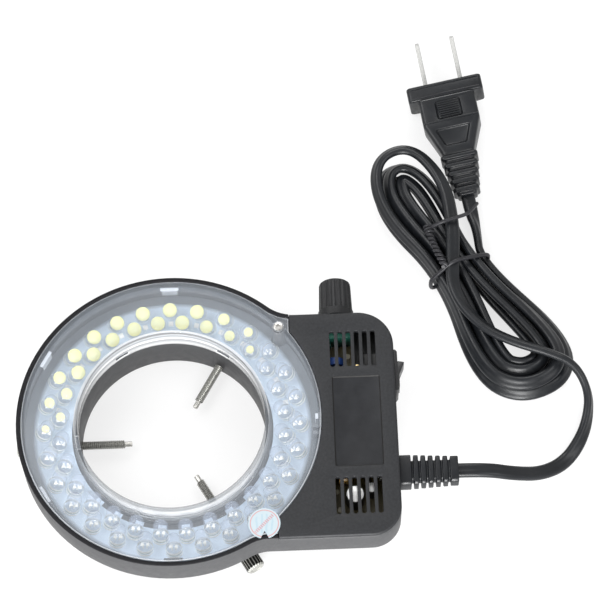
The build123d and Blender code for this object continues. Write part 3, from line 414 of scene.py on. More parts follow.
def wall_painted_glare(name, outside=False):
    """The cover's clear inner wall, with painted highlights and painted shade in bands round it by
    height, and painted white where the pale floor shows through.
    """
    finish = Finish(name, (0.8, 0.82, 0.84), 0.12, ior=1.49).shade("Alpha", 0.72)
    wave = finish.noise(0.02)
    height = finish.maths("ADD", finish.split()[2], finish.product(wave, 0.0012))
    foot, top = 0.0155, 0.0262
    share = finish.between(height, 0, 1, foot, top)
    # Seen from outside through the cover, the bands are paler: painted highlight and painted shade.
    if outside:
        mid, pale, white = (0.3, 0.31, 0.33), (0.6, 0.62, 0.64), (0.95,) * 3
        stops = ((0.0, mid), (0.08, pale), (0.2, white), (0.28, pale), (0.36, white))
        stops += ((0.44, mid), (0.5, white), (0.86, white), (0.93, mid), (1.0, white))
    else:
        dark, mid, pale, white = (0.05,) * 3, (0.18, 0.19, 0.2), (0.4, 0.415, 0.43), (0.8,) * 3
        stops = ((0.0, dark), (0.06, pale), (0.2, white), (0.34, pale), (0.44, mid))
        stops += ((0.5, white), (0.62, pale), (0.7, mid), (0.77, pale), (0.86, dark), (1.0, mid))
    return finish.shade("Base Color", finish.ramp(share, stops)).material


def led_board_mask(name, mask, pad):
    """Pale solder mask: pads between the rows, a grey outer edge that is a painted shadow of the
    housing wall, and dark gaps at the front that are painted shade.
    """
    finish = Finish(name, mask, 0.45).shade("Specular IOR Level", 0.3)
    x, y, _ = finish.split()
    radius = finish.radius(x, y)
    pads_r, wall_shadow_edge, gap_shade_edge = 0.0392, (0.0452, 0.0468), (0.0352, 0.0354)
    back, front = (0, 0.01), (-0.024, -0.02)
    wave = finish.maths("COSINE", finish.product(finish.maths("ARCTAN2", y, x), LEDS_IN_ROW))
    at_pad = finish.between(wave, 0, 1, 0.8, 0.86)
    off_ring = finish.maths("ABSOLUTE", finish.maths("SUBTRACT", radius, pads_r))
    on_ring = finish.between(off_ring, 1, 0, 0.0008, 0.001)
    dot = finish.product(at_pad, on_ring, finish.between(y, 0, 1, *back))
    ground = finish.mix(finish.between(finish.noise(0.011), 0, 1), mask, shaded(mask, 1.1))
    # A grey ring round the board's outer edge: painted shadow of the housing wall.
    ground = finish.mix(finish.between(radius, 0, 1, *wall_shadow_edge), ground, (0.09, 0.105, 0.12))
    # Dark patches between the inner LEDs at the board's inner edge, at the front only: painted
    # shade of the gap by the collar.
    gap_shade = finish.between(wave, 0, 1, -0.5, -0.35)
    inside, in_front = finish.between(radius, 1, 0, *gap_shade_edge), finish.between(y, 1, 0, *front)
    ground = finish.mix(finish.product(gap_shade, inside, in_front), ground, (0.03,) * 3)
    finish.shade("Base Color", finish.mix(dot, ground, pad))
    finish.shade("Roughness", finish.between(dot, 0.45, 0.25, 0, 1))
    return finish.bump(dot, 0.0003, 0.5).material


def circuit_board(name, mask, pad):
    """Solder mask with faint tracks and rows of bright pads."""
    finish = Finish(name, mask, 0.4)
    kind, cells = "ShaderNodeTexVoronoi", {"Vector": finish.place}
    edges = finish.node(kind, {**cells, "Scale": 220}, "Distance", feature="DISTANCE_TO_EDGE")
    spots = finish.node(kind, {**cells, "Scale": 190, "Randomness": 0.6}, "Distance")
    track = finish.between(edges, 1, 0, 0.02, 0.05)
    dot = finish.between(spots, 1, 0, 0.16, 0.2)
    finish.shade("Base Color", finish.mix(dot, finish.mix(track, mask, shaded(mask, 0.86)), pad))
    finish.shade("Roughness", finish.between(dot, 0.42, 0.25, 0, 1))
    return finish.bump(dot, 0.0002, 0.5).material


def cord_jacket(name, colour):
    """PVC jacket: satin, faintly ribbed, with a lighter bloom."""
    finish = Finish(name, colour, 0.34).shade("Specular IOR Level", 0.3)
    finish.mottled(colour, shaded(colour, 1.5), 0.009, 4).uneven(0.29, 0.42, 0.003)
    return finish.bump(finish.noise(0.0012), 0.00004, 0.4).material


def painted_part(name, colour, shade, size=0.002, roughness=0.35):
    """A component's coat: two near shades, uneven gloss and a slight ripple."""
    finish = Finish(name, colour, roughness)
    finish.mottled(colour, shade, size).uneven(roughness - 0.06, roughness + 0.08, size / 2, 2)
    return finish.bump(finish.noise(size / 3, 2), 0.00003, 0.5).material


def painted_glint(name, colour):
    """A bright face inside a clear lens, with a faint painted glow that stands in for the light the
    lens gathers.
    """
    finish = Finish(name, colour, 0.35)
    finish.shade("Emission Color", colour).shade("Emission Strength", 0.1)
    finish.mottled(shaded(colour, 0.86), colour, 0.0016, 2)
    return finish.uneven(0.28, 0.42, 0.001, 2).material


def paper_print(name, centre):
    """Pale paper with a ring border, a hatched middle and a band of short strokes."""
    paper = (0.31, 0.37, 0.4)
    ring_from, ring_to, hatch_r, band_r, band_half = 0.00442, 0.00475, 0.0034, 0.0042, 0.0008
    finish = Finish(name, paper, 0.7)
    inputs = {"Vector": finish.place, "Location": centre}
    local = finish.node("ShaderNodeMapping", inputs, "Vector", vector_type="TEXTURE")
    x, y, _ = finish.split(local)
    radius = finish.radius(x, y)

    def within(r):
        return finish.maths("LESS_THAN", radius, r)

    ring = finish.product(finish.maths("GREATER_THAN", radius, ring_from), within(ring_to))
    along, across = finish.maths("ADD", x, y), finish.maths("SUBTRACT", y, x)
    strokes = finish.maths("GREATER_THAN", finish.maths("SINE", finish.product(along, 6200)))
    band = finish.maths("LESS_THAN", finish.maths("ABSOLUTE", across), band_half)
    band = finish.product(band, strokes, 0.8, within(band_r))
    inputs = {"Vector": local, "Scale": 190, "Distortion": 3}
    wave = finish.node("ShaderNodeTexWave", inputs, "Fac")
    hatch = finish.product(finish.between(wave, 0, 0.5, 0.6, 0.7), within(hatch_r))
    printed = finish.mix(hatch, paper, (0.22, 0.31, 0.37))
    printed = finish.mix(band, printed, (0.36, 0.12, 0.12))
    finish.shade("Base Color", finish.mix(ring, printed, (0.36, 0.19, 0.19)))
    return finish.uneven(0.6, 0.8, 0.001).bump(finish.noise(0.0008), 0.00003, 0.4).material


# Sizes and colours that a user would change


class RingLightSizes(bpy.types.PropertyGroup):
    cord_width: FloatProperty(
        name="Cord width", description="Width of the flat two-core cord",
        default=5.0 * MM, min=3 * MM, max=5.4 * MM, subtype="DISTANCE", unit="LENGTH",
    )
    cord_thick: FloatProperty(
        name="Cord thickness", description="Thickness of the flat two-core cord",
        default=2.8 * MM, min=2 * MM, max=4 * MM, subtype="DISTANCE", unit="LENGTH",
    )
    edge: FloatProperty(
        name="Moulded edge", description="Width of the rounding on the housing's edges",
        default=0.3 * MM, min=0.05 * MM, max=0.6 * MM, subtype="DISTANCE", unit="LENGTH",
    )
    thread_pitch: FloatProperty(
        name="Thread pitch", description="Pitch of the thumbscrews' thread",
        default=0.65 * MM, min=0.35 * MM, max=0.8 * MM, subtype="DISTANCE", unit="LENGTH",
    )
    knurl_teeth: IntProperty(
        name="Knurl teeth", description="Teeth round a thumbscrew's head",
        default=18, min=16, max=48,
    )
    knob_flutes: IntProperty(
        name="Knob flutes", description="Flutes round the brightness knob",
        default=18, min=12, max=24,
    )


class RingLightColours(bpy.types.PropertyGroup):
    housing: FloatVectorProperty(
        name="Housing", description="Colour of the moulded housing",
        default=(0.0165, 0.017, 0.0185), subtype="COLOR", min=0, max=1,
    )
    lid: FloatVectorProperty(
        name="Box lid", description="Colour of the control box's lid",
        default=(0.0125, 0.013, 0.0143), subtype="COLOR", min=0, max=1,
    )
    cord: FloatVectorProperty(
        name="Cord", description="Colour of the cord, the strain relief and the plug",
        default=(0.0045, 0.0052, 0.0064), subtype="COLOR", min=0, max=1,
    )
    glow: FloatVectorProperty(
        name="Phosphor", description="Colour of the phosphor in the LEDs",
        default=(0.85, 0.82, 0.2), subtype="COLOR", min=0, max=1,
    )


def sizes():
    return bpy.context.scene.ring_light_sizes


def colours():
    return bpy.context.scene.ring_light_colours


def cord_finish():
    """The cord's black, which the strain relief and the plug share."""
    name = "cord_black"
    return bpy.data.materials.get(name) or cord_jacket(name, tuple(colours().cord))


def steel_finish():
    """The bare steel of the thumbscrews and the dimmer's shaft."""
    name = "bare_steel"
    return bpy.data.materials.get(name) or turned_steel(name, (0.54, 0.53, 0.5), 0.26, 0.7)


# Cord geometry, in millimetres until a function gives it in metres

# Route of the free stretch, from the strain relief to the waist of the hank
FREE_ROUTE = (
    (94.6, -19.3, 17.6),
    (104.0, -19.3, 17.6),
    (113.6, -19.2, 12.6),
    (123.0, -17.0, 5.6),
    (131.4, -12.2, 2.2),
    (137.2, -5.2, 2.1),
    (140.8, 3.2, 2.2),
    (141.6, 12.0, 6.0),
    (137.0, 20.4, 11.3),
    (128.0, 25.2, 11.4),
    (117.8, 28.8, 11.3),
    (108.0, 34.0, 11.4),
    (100.8, 41.8, 11.9),
    (97.0, 50.8, 12.8),
    (97.6, 60.4, 13.3),
)
# Degrees that the flat cord is turned on its edge there and at the waist: flat at its exit
FREE_TILTS = (0, 0, 2, 6, 14, 36, 62, 78, 72, 58, 52, 50, 46, 30, 14, 12, 34)
HANK_TURN = math.radians(24.4)
WAIST_X, WAIST_Y = 98.6, 58.8
WAIST_DRAWN, WAIST_SHIFT, WAIST_HALF = 0.76, 1.9, 10.5
LOOP_PITCH = 4.62
LOBE_HALF, LOWER_HALF_W, UPPER_HALF_W = 50.5, 16.6, 13.2
LOWER_LEAN = 0.16
HANK_CORNERS = 49
LAYER_Z = (2.0, 6.62, 11.24)
PLUG_FRAME = moved(98.9, 131.2, 8.435) @ turned(8.4) @ turned(6.0, "X") @ turned(-8.0, "Y")
LYING_BELOW = 2.4 * MM


def hank_point(u, v, z):
    """A place in the hank, from across, along and above its waist, in metres."""
    x = WAIST_X + u * math.cos(HANK_TURN) - v * math.sin(HANK_TURN)
    y = WAIST_Y + u * math.sin(HANK_TURN) + v * math.cos(HANK_TURN)
    return Vector((x, y, z)) * MM


def hank_points(places):
    return [hank_point(*place) for place in places]


def plug_point(along):
    """A place on the plug's middle line, from millimetres in front of its flange."""
    return PLUG_FRAME @ Vector((0, along * MM, 0))


def loop_corner(k, inward):
    """Corner k of ten in a loop of the hank, drawn in by a share of the pitch."""
    step = LOOP_PITCH * inward
    if k % 5 == 0:
        across = (1 if k == 0 else -1) * (WAIST_HALF - step)
        return WAIST_DRAWN * across + WAIST_SHIFT, 0.0
    lower = k < 5
    half_w = LOWER_HALF_W if lower else UPPER_HALF_W
    side = 1 if k in (1, 2, 8, 9) else -1
    if k in (1, 4, 6, 9):
        across, along = 1.1 * half_w - 1.06 * step, (0.72 if lower else 0.62) * LOBE_HALF
    else:
        across, along = 0.62 * half_w - 0.68 * step, LOBE_HALF - 1.02 * step + 2 * lower
    if lower:
        return side * across + LOWER_LEAN * along, -along
    return side * across, along


def hank_route():
    """The hank's turns from the plug's end to the tie, outside in and out again on top."""
    points = []
    for k in range(HANK_CORNERS):
        turns = k / 10
        corner = k % 10
        if turns <= 2:
            inward, z = turns - (0.14 if k == 0 else 0), LAYER_Z[0]
        elif turns < 2.5:
            inward, z = 2.3, LAYER_Z[0 if corner <= 1 else 1]
        else:
            inward, z = 5.0 - turns, LAYER_Z[1]
        if k >= HANK_CORNERS - 2:
            z = LAYER_Z[2]
        if corner % 5 == 0:
            z += 2.0
        points.append(hank_point(*loop_corner(corner, inward), z))
    return points


def cord_route():
    """Every point of the cord, from the strain relief to the plug."""
    free = [Vector(p) * MM for p in FREE_ROUTE]
    onward = free[-1] + (free[-1] - free[-2]).normalized() * 14 * MM
    joint = [onward, hank_point(12, 32, LAYER_Z[2])]
    lead = [hank_point(14.9, 11.6, 4.0), plug_point(-49), plug_point(-43)]
    return free + joint + hank_route()[::-1] + lead


def cord_tilts():
    """How far the flat cord is turned on its edge at each point of its route."""
    hank = [84 if k % 5 == 3 else 46 + 12 * math.sin(0.83 * k) for k in range(HANK_CORNERS)]
    return [math.radians(t) for t in (*FREE_TILTS, *hank, 80, 20, 0)]


def cord_section():
    """The flat cord's outline, two round cores joined by a web, as an unlinked bevel curve."""
    width, thick = sizes().cord_width, sizes().cord_thick
    core = width / 2 - thick / 2
    curve = bpy.data.curves.new("cord_section", "CURVE")
    curve.dimensions = "2D"
    spline = curve.splines.new("POLY")
    points = []
    for side, first in ((1, -115), (-1, 65)):
        for k in range(9):
            a = math.radians(first + k * 230 / 8)
            points.append((side * core + thick / 2 * math.cos(a), thick / 2 * math.sin(a)))
    spline.points.add(len(points) - 1)
    for point, (x, y) in zip(spline.points, points):
        point.co = (x, y, 0, 1)
    spline.use_cyclic_u = True
    return bpy.data.objects.new("cord_section", curve)


def smooth_curve(name, points, cyclic=False, resolution=10):
    """A NURBS curve of one spline through space, with these points as its control points."""
    curve = bpy.data.curves.new(name, "CURVE")
    curve.dimensions = "3D"
    spline = curve.splines.new("NURBS")
    spline.points.add(len(points) - 1)
    for point, place in zip(spline.points, points):
        point.co = (*place, 1)
    spline.use_cyclic_u = cyclic
    spline.order_u = 3
    spline.use_endpoint_u = not cyclic
    spline.resolution_u = resolution
    obj = bpy.data.objects.new(name, curve)
    bpy.context.scene.collection.objects.link(obj)
    return obj


def line_of(curve):
    """The points that a bare curve runs through; the curve is used up."""
    depsgraph = bpy.context.evaluated_depsgraph_get()
    mesh = bpy.data.meshes.new_from_object(curve.evaluated_get(depsgraph))
    points = [v.co.copy() for v in mesh.vertices]
    bpy.data.meshes.remove(mesh)
    bpy.data.objects.remove(curve)
    return points


def wire_mesh(name, points, r, cyclic=False):
    """A round wire along a smooth line, as a mesh."""
    wire = smooth_curve(name, points, cyclic, resolution=6)
    wire.data.bevel_depth = r
    wire.data.bevel_resolution = 3
    wire.data.use_fill_caps = True
    only(wire)
    bpy.ops.object.convert(target="MESH")
    return new_piece(name)


def helix(points, r, pitch, phase):
    """Points that wind round a line."""
    out = []
    run = 0.0
    for i, here in enumerate(points):
        if i:
            run += (here - points[i - 1]).length
        tangent = (points[min(i + 1, len(points) - 1)] - points[max(i - 1, 0)]).normalized()
        side = tangent.cross(Vector((0, 0, 1))).normalized()
        up = side.cross(tangent)
        a = phase + 2 * math.pi * run / pitch
        out.append(here + (side * math.cos(a) + up * math.sin(a)) * r)
    return out


# Operators, one for each piece or group of like pieces


class RINGLIGHT_OT_stage(bpy.types.Operator):
    """Set the camera, the pale floor, the lamps and the world"""

    bl_idname = "ringlight.stage"
    bl_label = "Camera and stage"

    # The photograph's camera: degrees about X, Y and Z, the cover's middle from it in
    # millimetres, and its focal length and frame in pixels
    camera_turn = (-24.5495, -0.5669, 2.0406)
    cover_from_camera = (-44.8217, -37.1850, -862.2576)
    focal_px, frame_px, sensor = 2600, 612, 36
    floor_white = 0.72
    # Name, place, size and power of each lamp
    lamps = (
        ("lamp_left", (-0.55, 0.1, 0.75), 0.6, 5.0),
        ("lamp_back", (0.1, 0.75, 0.7), 0.5, 4.0),
        ("lamp_right", (0.8, -0.25, 0.8), 0.5, 3.0),
        ("lamp_front", (0.0, -0.8, 0.22), 0.5, 20.0),
    )

    def execute(self, context):
        scene = context.scene
        x, y, z = (
            Matrix.Rotation(math.radians(a), 3, axis) for a, axis in zip(self.camera_turn, "XYZ")
        )
        turn = (x @ y @ z).transposed()
        place = -(turn @ Vector(self.cover_from_camera)) * MM
        place.z += TOP_Z
        camera_data = bpy.data.cameras.new("photo_camera")
        camera_data.lens = self.focal_px / self.frame_px * self.sensor
        camera_data.sensor_width = self.sensor
        camera_data.clip_end = 10
        camera = bpy.data.objects.new("photo_camera", camera_data)
        camera.matrix_world = Matrix.Translation(place) @ turn.to_4x4()
        scene.collection.objects.link(camera)
        scene.camera = camera
        self.lay_floor()

        world = bpy.data.worlds.new("soft_white")
        world.use_nodes = True
        sky = world.node_tree.nodes["Background"]
        sky.inputs["Color"].default_value = (1, 1, 1, 1)
        sky.inputs["Strength"].default_value = 0.8
        scene.world = world
        for name, place, size, power in self.lamps:
            lamp_data = bpy.data.lights.new(name, "AREA")
            lamp_data.size = size
            lamp_data.energy = power
            lamp = bpy.data.objects.new(name, lamp_data)
            lamp.location = place
            aim = Vector((0.04, 0.03, 0)) - Vector(place)
            lamp.rotation_euler = aim.to_track_quat("-Z", "Y").to_euler()
            scene.collection.objects.link(lamp)
        scene.view_settings.view_transform = "Standard"
        return {"FINISHED"}

    def lay_floor(self):
        """A floor that is white to the camera and in reflections, and keeps the shadow."""
        deselect_all()
        bpy.ops.mesh.primitive_plane_add(size=6, location=(0.05, 0.03, -0.0002))
        floor = rooted(new_piece("floor"))
        finish = Finish("pale_floor", (0.86, 0.86, 0.86), 0.8).shade("Specular IOR Level", 0)
        white = {"Color": (1, 1, 1), "Strength": 1.0}
        glow = finish.node("ShaderNodeEmission", white, "Emission")
        path = finish.nodes.new("ShaderNodeLightPath").outputs
        seen = finish.maths("MAXIMUM", path["Is Camera Ray"], path["Is Glossy Ray"])
        seen = finish.maths("MAXIMUM", seen, path["Is Transmission Ray"])
        share = finish.product(seen, self.floor_white)
        shaders = {"Fac": share, 1: finish.shader.outputs["BSDF"], 2: glow}
        blend = finish.node("ShaderNodeMixShader", shaders, "Shader")
        finish.links.new(blend, finish.nodes["Material Output"].inputs["Surface"])
        coat(floor, finish.material)


class RINGLIGHT_OT_plug(bpy.types.Operator):
    """Mould the plug with its grip lines, its seam and its recess, and set its two blades"""

    bl_idname = "ringlight.plug"
    bl_label = "Plug"

    def execute(self, context):
        plug = cad_copy("plug_body", "plug_form")
        plug.data.transform(PLUG_FRAME.inverted())
        self.sink_shoulder(plug)
        rounded(plug, 0.6 * MM, 3, 20)
        plug = joined("moulded_plug", [plug, *self.grip_lines(), *self.ridges()])
        plug.data.transform(PLUG_FRAME)
        stand_for("plug_body", plug, cord_finish())
        nickel = turned_steel("nickelled_brass", (0.36, 0.36, 0.35), 0.4, 0.15)
        dressed("plug_blades", "flat_blades", 0.3 * MM, nickel, segments=3)
        return {"FINISHED"}

    def sink_shoulder(self, plug):
        """Sink a shallow recess in the sloped top between the body and the neck."""

        def on_slope(face):
            middle = face.calc_center_median()
            return (
                face.normal.z > 0.8
                and -25.5 * MM < middle.y < -16 * MM
                and abs(middle.x) < 2 * MM
            )

        edit(plug)
        pick(plug, "FACE", on_slope)
        bpy.ops.mesh.inset(thickness=2.2 * MM)
        bpy.ops.mesh.extrude_region_shrink_fatten(TRANSFORM_OT_shrink_fatten={"value": -0.7 * MM})
        leave_edit()

    def grip_lines(self):
        """Fine ribs across the sunk panel on the body, each a little shorter."""
        lines = []
        for k in range(8):
            y, half = -7.6 - 0.82 * k, 4.1 - 0.12 * k
            lines.append(block("grip_line", (-half, y - 0.17, 5.0), (half, y + 0.17, 5.55)))
        return lines

    def ridges(self):
        """Thin rims along the flange's top, and the seam across the body before its shoulder."""
        ridges = []
        for name, half, start, end, low, high in (
            ("flange_step", 12.3, -1.25, -0.55, 6.0, 6.42),
            ("flange_step", 12.3, -5.05, -4.35, 6.0, 6.42),
            ("seam_ridge", 9.9, -14.9, -14.2, 5.4, 5.85),
        ):
            ridge = block(name, (-half, start, low), (half, end, high))
            ridges.append(rounded(ridge, 0.12 * MM))
        return ridges


class RINGLIGHT_OT_cord(bpy.types.Operator):
    """Lay the mains cord from the strain relief through its hank to the plug"""

    bl_idname = "ringlight.cord"
    bl_label = "Mains cord"

    def execute(self, context):
        route = cord_route()
        cord = smooth_curve("mains_cord", route, resolution=12)
        half_w, half_t = sizes().cord_width / 2, sizes().cord_thick / 2
        for point, tilt in zip(cord.data.splines[0].points, cord_tilts(), strict=True):
            point.tilt = tilt
            if point.co.z < LYING_BELOW:
                point.co.z = math.hypot(half_w * math.sin(tilt), half_t * math.cos(tilt))
        cord.data.twist_mode = "Z_UP"
        cord.data.bevel_mode = "OBJECT"
        cord.data.bevel_object = cord_section()
        cord.data.use_fill_caps = True
        finished(cord, "cord_jacket", cord_finish())
        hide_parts("cord_free", "cord_hank")
        return {"FINISHED"}


class RINGLIGHT_OT_tie(bpy.types.Operator):
    """Tie the hank at its waist with a coated wire, its ends twisted together"""

    bl_idname = "ringlight.tie"
    bl_label = "Twist tie"

    # Across, along and above the hank's waist, in millimetres
    loop_corners = ((-9.3, 0.7), (13.0, 0.7), (13.3, 8.6), (-0.8, 16.6), (-9.6, 8.8))
    tail = ((-4.2, 0.0, 15.0), (-4.1, 5.6, 14.9), (-3.4, 11.5, 13.6), (-2.2, 17.2, 12.7))
    end = (
        (-2.4, 16.2, 12.9),
        (1.2, 15.0, 16.6),
        (6.0, 14.4, 16.7),
        (11.4, 13.6, 16.5),
        (14.8, 15.4, 14.9),
        (17.6, 17.4, 12.7),
    )
    knot = ((-2.6, 14.2, 13.2), (-2.3, 15.8, 12.9), (-1.9, 17.4, 12.6))
    wire_r = 0.66 * MM

    def execute(self, context):
        parts = [wire_mesh("tie_loop", self.loop(), 0.72 * MM, cyclic=True)]
        line = line_of(smooth_curve("tie_tail_line", hank_points(self.tail), resolution=16))
        for phase in (0, math.pi):
            wound = helix(line, 0.72 * MM, 3.6 * MM, phase)
            parts.append(wire_mesh("tie_strand", wound, self.wire_r))
        parts.append(wire_mesh("tie_end", hank_points(self.end), self.wire_r))
        parts.append(self.wound_knot())
        tie = smoothed(joined("wire_tie", parts), 60)
        sleeve = satin_plastic("tie_black", (0.012, 0.012, 0.014), 0.4, 0.25)
        stand_for("twist_tie", tie, sleeve)
        return {"FINISHED"}

    def loop(self):
        """The loop round the waist, with its corners rounded off."""
        corners = [Vector(corner) for corner in self.loop_corners]
        points = []
        for i, here in enumerate(corners):
            before = (corners[i - 1] - here) * 0.32
            after = (corners[(i + 1) % len(corners)] - here) * 0.32
            points += [here + before, here + (before + after) * 0.12, here + after]
        return [hank_point(p.x, 0, p.y) for p in points]

    def wound_knot(self):
        """The last turns of one end, wound close round the tail."""
        start, middle, end = hank_points(self.knot)
        line = [start.lerp(middle, k / 12) for k in range(12)]
        line += [middle.lerp(end, k / 12) for k in range(13)]
        return wire_mesh("tie_knot", helix(line, 1.35 * MM, 1.2 * MM, 0.4), 0.5 * MM)


class RINGLIGHT_OT_housing(bpy.types.Operator):
    """Mould the ring channel, the box tray and the collar"""

    bl_idname = "ringlight.housing"
    bl_label = "Housing"

    def execute(self, context):
        black = moulded_plastic("housing_black", tuple(colours().housing), 0.68)
        # The rim's top gets a darker, less glossy copy of the housing black: painted shade where
        # the cover meets the rim.
        rim = moulded_plastic("rim_painted_shade", (0.006, 0.006, 0.007), 0.12, roughness=0.6)
        housing = dressed("housing", "moulded_housing", sizes().edge, black, rim)
        for face in housing.data.polygons:
            if face.center.z > TOP_Z - 0.4 * MM and face.normal.z > 0.3:
                face.material_index = 1
        return {"FINISHED"}


class RINGLIGHT_OT_lid(bpy.types.Operator):
    """Mould the lid of the control box and smooth its sunk panel"""

    bl_idname = "ringlight.lid"
    bl_label = "Box lid"

    panel_z = TOP_Z - 0.45 * MM

    def execute(self, context):
        lid = rounded(cad_copy("box_lid", "slotted_lid", merge=False), 0.22 * MM)
        colour = tuple(colours().lid)
        grained = moulded_plastic("lid_black", colour, 0.2, 0.48, grain=0.0003, deep=0.00006)
        smooth = satin_plastic("panel_black", (0.012, 0.0125, 0.014), 0.4, 0.14)
        # A near-black coat on the slopes round the sunk panel: painted shade at its edge.
        outline = satin_plastic("panel_edge_shade", (0.002, 0.002, 0.002), 0.6)
        stand_for("box_lid", lid, grained, smooth, outline)
        faces = lid.data.polygons
        panel = [
            face
            for face in faces
            if abs(face.center.z - self.panel_z) < 0.02 * MM and face.normal.z > 0.9
        ]
        for face in panel:
            face.material_index = 1
        spots = [lid.data.vertices[v].co for face in panel for v in face.vertices]
        near = 0.4 * MM
        low_x, high_x = min(p.x for p in spots) - near, max(p.x for p in spots) + near
        low_y, high_y = min(p.y for p in spots) - near, max(p.y for p in spots) + near
        for face in faces:
            here = face.center
            round_panel = low_x < here.x < high_x and low_y < here.y < high_y
            sloped = here.z > self.panel_z and abs(face.normal.z) < 0.97
            if round_panel and sloped and face.material_index == 0:
                face.material_index = 2
        return {"FINISHED"}


class RINGLIGHT_OT_cover(bpy.types.Operator):
    """Mould the clear cover with its walls, ears and clips"""

    bl_idname = "ringlight.cover"
    bl_label = "Clear cover"

    bore_r, wall_r, rim_r, skirt_r = 32 * MM, 32.9 * MM, 45 * MM, 48.4 * MM
    clip_degrees = (0, 90, 150, 210, 270)
    clip_r = 47.9

    def execute(self, context):
        cover = dressed(
            "clear_cover",
            "clear_window",
            0.18 * MM,
            clear_plastic("clear_cover", (0.74, 0.8, 0.88), 0.08, 0.05),
            wall_painted_glare("clear_wall_glare"),
            # A painted highlight on the bevelled edge round the top's outer part.
            clear_plastic("cover_edge_highlight", (0.5, 0.52, 0.55), 0.5, 0.25),
            # Painted shade on the skirt that hangs in the channel.
            clear_plastic("cover_skirt_shade", (0.1, 0.12, 0.15), 0.16, 0.3),
            wall_painted_glare("clear_wall_glare_outer", outside=True),
        )
        for face in cover.data.polygons:
            face.material_index = self.finish_at(face)
        self.clips()
        return {"FINISHED"}

    def finish_at(self, face):
        """Which of the cover's finishes a face takes, from its place."""
        r = math.hypot(face.center.x, face.center.y)
        z, up = face.center.z, face.normal.z
        if r < self.wall_r and abs(up) < 0.5:
            return 1 if r < self.bore_r else 4
        # The skirt in the channel takes painted shade.
        if r > self.skirt_r and abs(up) < 0.5 and z < TOP_Z - MM:
            return 3
        # The bevels round the outer top take the painted highlight.
        if r > self.rim_r and z > TOP_Z - 0.45 * MM and 0.05 < up < 0.95:
            return 2
        return 0

    def clips(self):
        """The clips in the channel: a shelf each and a thin tongue below, the front one dark."""
        shelves, tongues = [], []
        for degrees in self.clip_degrees:
            half = 0.9 if degrees == 0 else 3.1
            for name, group, share, end_r, low, high in (
                ("clip_shelf", shelves, 1, 48.9, 22.4, 22.8),
                ("clip_tongue", tongues, 0.85, 48.1, 18.8, 22.4),
            ):
                wide = share * half
                clip = block(name, (self.clip_r, -wide, low), (end_r, wide, high))
                clip.data.transform(turned(degrees))
                group.append(clip)
        shade = clear_plastic("clip_shade", (0.05,) * 3, 0.7, 0.3)
        finished(shelves.pop(), "clear_plastic", shade)
        for name, group, alpha in (("clip_shelves", shelves, 0.7), ("clip_tongues", tongues, 0.35)):
            milky = clear_plastic(name, (0.6, 0.64, 0.7), alpha, 0.3)
            finished(joined(name, group), "clear_plastic", milky)


